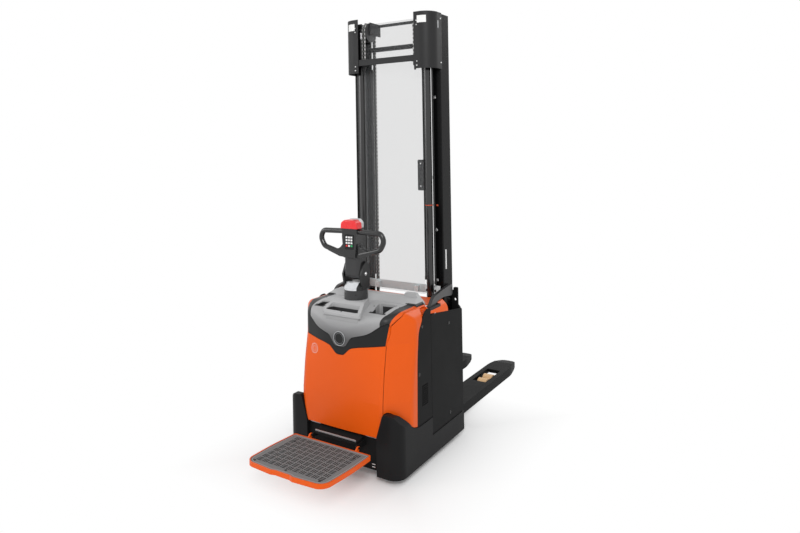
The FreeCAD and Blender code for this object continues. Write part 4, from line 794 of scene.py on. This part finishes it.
TILLER_Y = -0.574
DRUM_SCREW_TURNS = (-80.0, -25.0, 35.0, 95.0, 150.0, 205.0)
COLOURED_KEYS = {(3, -1): "red", (3, 1): "green"}


def drum_screws():
    """Screws around the tiller drum."""
    shape = bmesh.new()
    for turn in DRUM_SCREW_TURNS:
        way = Vector((math.sin(math.radians(turn)), -math.cos(math.radians(turn)), 0.0))
        seat = Vector((0.0, TILLER_Y, 0.974)) + way * 0.0698
        socket_screw(shape, seat, way, 0.0045, 0.0018)
    finish_piece("drum_screws", shape, "chassis", BLACK_ZINC)


def tilt_pin_heads():
    """Washer and hexagon head at both ends of the tilt pin."""
    washer = 0.0020
    shape = bmesh.new()
    for side in SIDES:
        place = facing((side * 0.0705, TILLER_Y, 1.090), (side, 0.0, 0.0))
        puck(shape, place, 0.0105, washer, 0.0006)
        puck(shape, raised(place, washer), 0.0068, 0.0040, 0.0008, sides=6)
    finish_piece("tilt_pin_heads", shape, "tiller_turret", BRIGHT_ZINC)


def key_caps():
    """Four rows of three plain key caps, two of them coloured."""
    half_width, half_height = 0.0062, 0.0052
    for tag, finish in KEY_CAPS.items():
        shape = bmesh.new()
        for row in range(4):
            for column in (-1, 0, 1):
                if COLOURED_KEYS.get((row, column), "white") != tag:
                    continue
                x, z = column * 0.0175, 1.3055 - row * 0.0165
                block(shape, (x - half_width, -0.6366, z - half_height),
                      (x + half_width, -0.6346, z + half_height), 0.0007)
        finish_piece(f"keys_{tag}", shape, "tiller_arm", finish)


# ---------------------------------------------------------------- mast fittings

RAIL_FACE_Y, RAIL_BOLT_X = -0.104, 0.284
COVER_SCREW_X, COVER_SCREW_HEIGHTS = 0.2335, (2.601, 2.575, 2.350, 2.325)
# piece, x of its two lines, y, radius, lower and upper end
MAST_LINES = (
    ("lift_hoses", (-0.2835, 0.2835), -0.128, 0.0062, 0.962, 2.335),
    ("guard_cables", (-0.1760, 0.2120), -0.121, 0.0060, 0.985, 2.335),
)


def mast_plates():
    """Blank plates and slots on the head covers, and one on the right rail."""
    for side, word in SIDE_WORDS:
        plate_on(f"cover_plate_{word}", f"mast_cover_{word}", "chassis", PLATE_WHITE,
                 (side * 0.266, -0.3, 2.608), 0.058, 0.044, TO_FORKS)
        plate_on(f"cover_slot_{word}", f"mast_cover_{word}", "chassis", TRIM_GREY,
                 (side * 0.5, -0.133, 2.580), 0.010, 0.046, (-side, 0.0, 0.0))
    plate_on("rail_plate", "outer_rail_right", "chassis", PLATE_WHITE,
             (0.5, -0.070, 1.114), 0.014, 0.122, (-1.0, 0.0, 0.0))


def mast_screws():
    """Screws of the head covers and bolts down the outer rails."""
    shape = bmesh.new()
    for side, word in SIDE_WORDS:
        cover = skin_of(f"mast_cover_{word}")
        for z in COVER_SCREW_HEIGHTS:
            seat, normal, _, _ = cover.ray_cast(Vector((side * COVER_SCREW_X, -0.5, z)), Vector(TO_FORKS))
            if seat is not None:
                socket_screw(shape, seat, normal, 0.005, 0.003)
        for z in (2.620, 2.345):
            socket_screw(shape, Vector((side * 0.334, -0.100, z)), (side, 0.0, 0.0), 0.0055, 0.003)
        for z in (2.130, 1.300, 0.985):
            hex_bolt(shape, Vector((side * RAIL_BOLT_X, RAIL_FACE_Y, z)), TO_RIDER, 0.013, 0.006)
    finish_piece("mast_screws", shape, "chassis", BRIGHT_ZINC)


def cylinder_clips():
    """Red clip around the right cylinder, and one on the rail beside it."""
    shape = bmesh.new()
    torus(shape, facing((0.251, -0.134, 1.457), UP), 0.0232, 0.0028, turns=40, sides=8)
    block(shape, (0.286, -0.1065, 1.449), (0.300, -0.1038, 1.459), 0.0008)
    finish_piece("cylinder_clips", shape, "chassis", CLIP_RED)


def mast_lines():
    """A hose beside each lift cylinder and a cable behind each side of the guard, with ferrules."""
    ferrule, thicker = 0.020, 0.0016
    for name, spots, y, radius, low, high in MAST_LINES:
        shape = bmesh.new()
        for x in spots:
            puck(shape, facing((x, y, low), UP), radius, high - low, 0.0008, sides=20)
            for z in (low, 1.62, high - 0.03):
                puck(shape, facing((x, y, z), UP), radius + thicker, ferrule, 0.0008, sides=20)
        finish_piece(name, shape, "chassis", GRIP_BLACK)


def guard_bar_bolts():
    """Bolts that hold the guard's lower bar."""
    shape = bmesh.new()
    for side in SIDES:
        for x in (0.230, 0.290):
            hex_bolt(shape, Vector((side * x, -0.142, 0.925)), TO_RIDER, 0.010, 0.004)
    finish_piece("guard_bar_bolts", shape, "chassis", BLACK_ZINC)


# ---------------------------------------------------------------- side panels and hood

PANEL_FASTENERS = ((-0.480, 0.801), (-0.518, 0.540), (-0.160, 0.745), (-0.160, 0.200))
HANDLE_BOOTS = (((0.3355, -0.3675, 0.858), (0.3785, -0.2370, 0.8795)),
                ((0.3720, -0.4900, 0.600), (0.3785, -0.4550, 0.845)))
CORNER_STEP = 0.0070
CORNER_STEPS = ((0.3370, 0.8885), (0.3440, 0.8835), (0.3510, 0.8785), (0.3580, 0.8725), (0.3650, 0.8655),
                (0.3720, 0.8565))


def panel_fasteners():
    """Quarter-turn fasteners of the side panels."""
    shape = bmesh.new()
    for side in SIDES:
        for y, z in PANEL_FASTENERS:
            place = facing((side * 0.391, y, z), (side, 0.0, 0.0))
            puck(shape, place, 0.0095, 0.0016, 0.0006, sides=28)
            block(shape, (-0.0065, -0.0012, 0.0012), (0.0065, 0.0012, 0.0026), 0.0004, place)
    finish_piece("panel_fasteners", shape, "chassis", BLACK_ZINC)


def handle_boots():
    """Dark boots that close the gaps around the grab handles' feet."""
    shape = bmesh.new()
    for side in SIDES:
        for low, high in HANDLE_BOOTS:
            side_block(shape, side, low, high, 0.0006)
    finish_piece("handle_boots", shape, "chassis", BAND_DARK)


def hood_rear_corners():
    """Closes the gap behind each hood side, stepped down with the shoulder."""
    shape = bmesh.new()
    for side in SIDES:
        for near, top in CORNER_STEPS:
            side_block(shape, side, (near, -0.4620, 0.800), (near + CORNER_STEP, -0.3680, top), 0.0004)
    finish_piece("hood_rear_corners", shape, "chassis", ORANGE)


def deck_closing_strip():
    """Closes the gap across the deck, behind the console."""
    shape = bmesh.new()
    block(shape, (-0.3300, -0.3440, 0.8835), (0.3300, -0.2835, 0.8875), 0.0008)
    finish_piece("deck_closing_strip", shape, "chassis", ORANGE)


for make in (mat_tread, mat_edging, mat_screws, bulkhead_trim_and_highlight, bulkhead_slots, console_badge, panel_ring_mark,
             console_screws, drum_screws, tilt_pin_heads, key_caps, mast_plates, mast_screws, cylinder_clips,
             panel_fasteners, handle_boots, hood_rear_corners, deck_closing_strip, mast_lines,
             guard_bar_bolts):
    make()


# ---------------------------------------------------------------- floor, light and camera

WHITE = (1.0, 1.0, 1.0, 1.0)


def seen_ray(tree):
    """One for a ray from the camera, a gloss or a clear sheet, else nought."""
    rays = add(tree, "ShaderNodeLightPath")
    seen = larger(tree, rays.outputs["Is Camera Ray"], rays.outputs["Is Glossy Ray"])
    return larger(tree, seen, rays.outputs["Is Transmission Ray"])


def floor_finish():
    """Pale floor that fades to plain white away from the object."""
    half_width, half_length, middle_y = 0.39, 0.42, -0.30
    fade, fade_power, least = 1.9, 0.7, 0.10
    material, tree, shader = new_material("studio floor")
    set_inputs(shader, Base_Color=(0.93, 0.93, 0.93, 1.0), Roughness=0.95, Specular_IOR_Level=0.0)
    x, y, _ = axes_of(tree, object_place(tree))
    aside = minus(tree, size_of(tree, x), half_width)
    ahead = minus(tree, size_of(tree, plus(tree, y, -middle_y)), half_length)
    away = larger(tree, larger(tree, aside, ahead), 0.0)
    spread = math_node(tree, "POWER", times(tree, away, fade, clamp=True), fade_power)
    spread = larger(tree, spread, least)
    white = add(tree, "ShaderNodeEmission", Strength=1.0, Color=WHITE)
    mixed = add(tree, "ShaderNodeMixShader")
    link(tree, times(tree, spread, seen_ray(tree)), mixed.inputs[0])
    link(tree, shader.outputs[0], mixed.inputs[1])
    link(tree, white.outputs[0], mixed.inputs[2])
    link(tree, mixed.outputs[0], tree.nodes["Material Output"].inputs["Surface"])
    return material


def backdrop():
    """The floor that takes the object's shadow."""
    shape = bmesh.new()
    bmesh.ops.create_grid(shape, x_segments=1, y_segments=1, size=14.0)
    mesh = bpy.data.meshes.new("studio_floor")
    shape.to_mesh(mesh)
    shape.free()
    floor = bpy.data.objects.new("studio_floor", mesh)
    bpy.context.scene.collection.objects.link(floor)
    mesh.materials.append(floor_finish())


def studio_world():
    """White surroundings, dimmer as a light than they look."""
    as_light = 0.62
    world = bpy.data.worlds.new("studio")
    bpy.context.scene.world = world
    world.use_nodes = True
    tree = world.node_tree
    background = set_inputs(tree.nodes["Background"], Color=WHITE)
    strength = plus(tree, as_light, times(tree, seen_ray(tree), 1.0 - as_light))
    link(tree, strength, background.inputs["Strength"])


def soft_light(name, place, aim, power, size):
    """A round area light aimed at a point."""
    lamp = bpy.data.lights.new(name, "AREA")
    lamp.energy = power
    lamp.shape = "DISK"
    lamp.size = size
    light = bpy.data.objects.new(name, lamp)
    light.location = place
    light.rotation_euler = (Vector(aim) - Vector(place)).to_track_quat("-Z", "Y").to_euler()
    bpy.context.scene.collection.objects.link(light)


backdrop()
studio_world()
soft_light("key light", (3.2, -4.9, 5.0), (0.0, 0.0, 1.0), 195.0, 2.6)
soft_light("fill light", (-4.5, -4.0, 3.0), (0.0, 0.0, 0.9), 70.0, 3.0)
soft_light("back light", (1.0, 5.0, 4.5), (0.0, 0.0, 1.2), 60.0, 3.0)

camera_data = bpy.data.cameras.new("camera")
camera_data.sensor_width = 36.0
camera_data.lens = 28.818
camera_data.shift_x = -0.0123
camera_data.shift_y = -0.1540
camera = bpy.data.objects.new("camera", camera_data)
camera.matrix_world = (
    Matrix.Translation((2.2542, -3.6065, 1.845))
    @ Matrix.Rotation(math.radians(31.62), 4, "Z")
    @ Matrix.Rotation(math.radians(90.0), 4, "X")
    @ Matrix.Rotation(math.radians(-0.94), 4, "Z")
)
bpy.context.scene.collection.objects.link(camera)
bpy.context.scene.camera = camera
bpy.context.scene.view_settings.view_transform = "Standard"
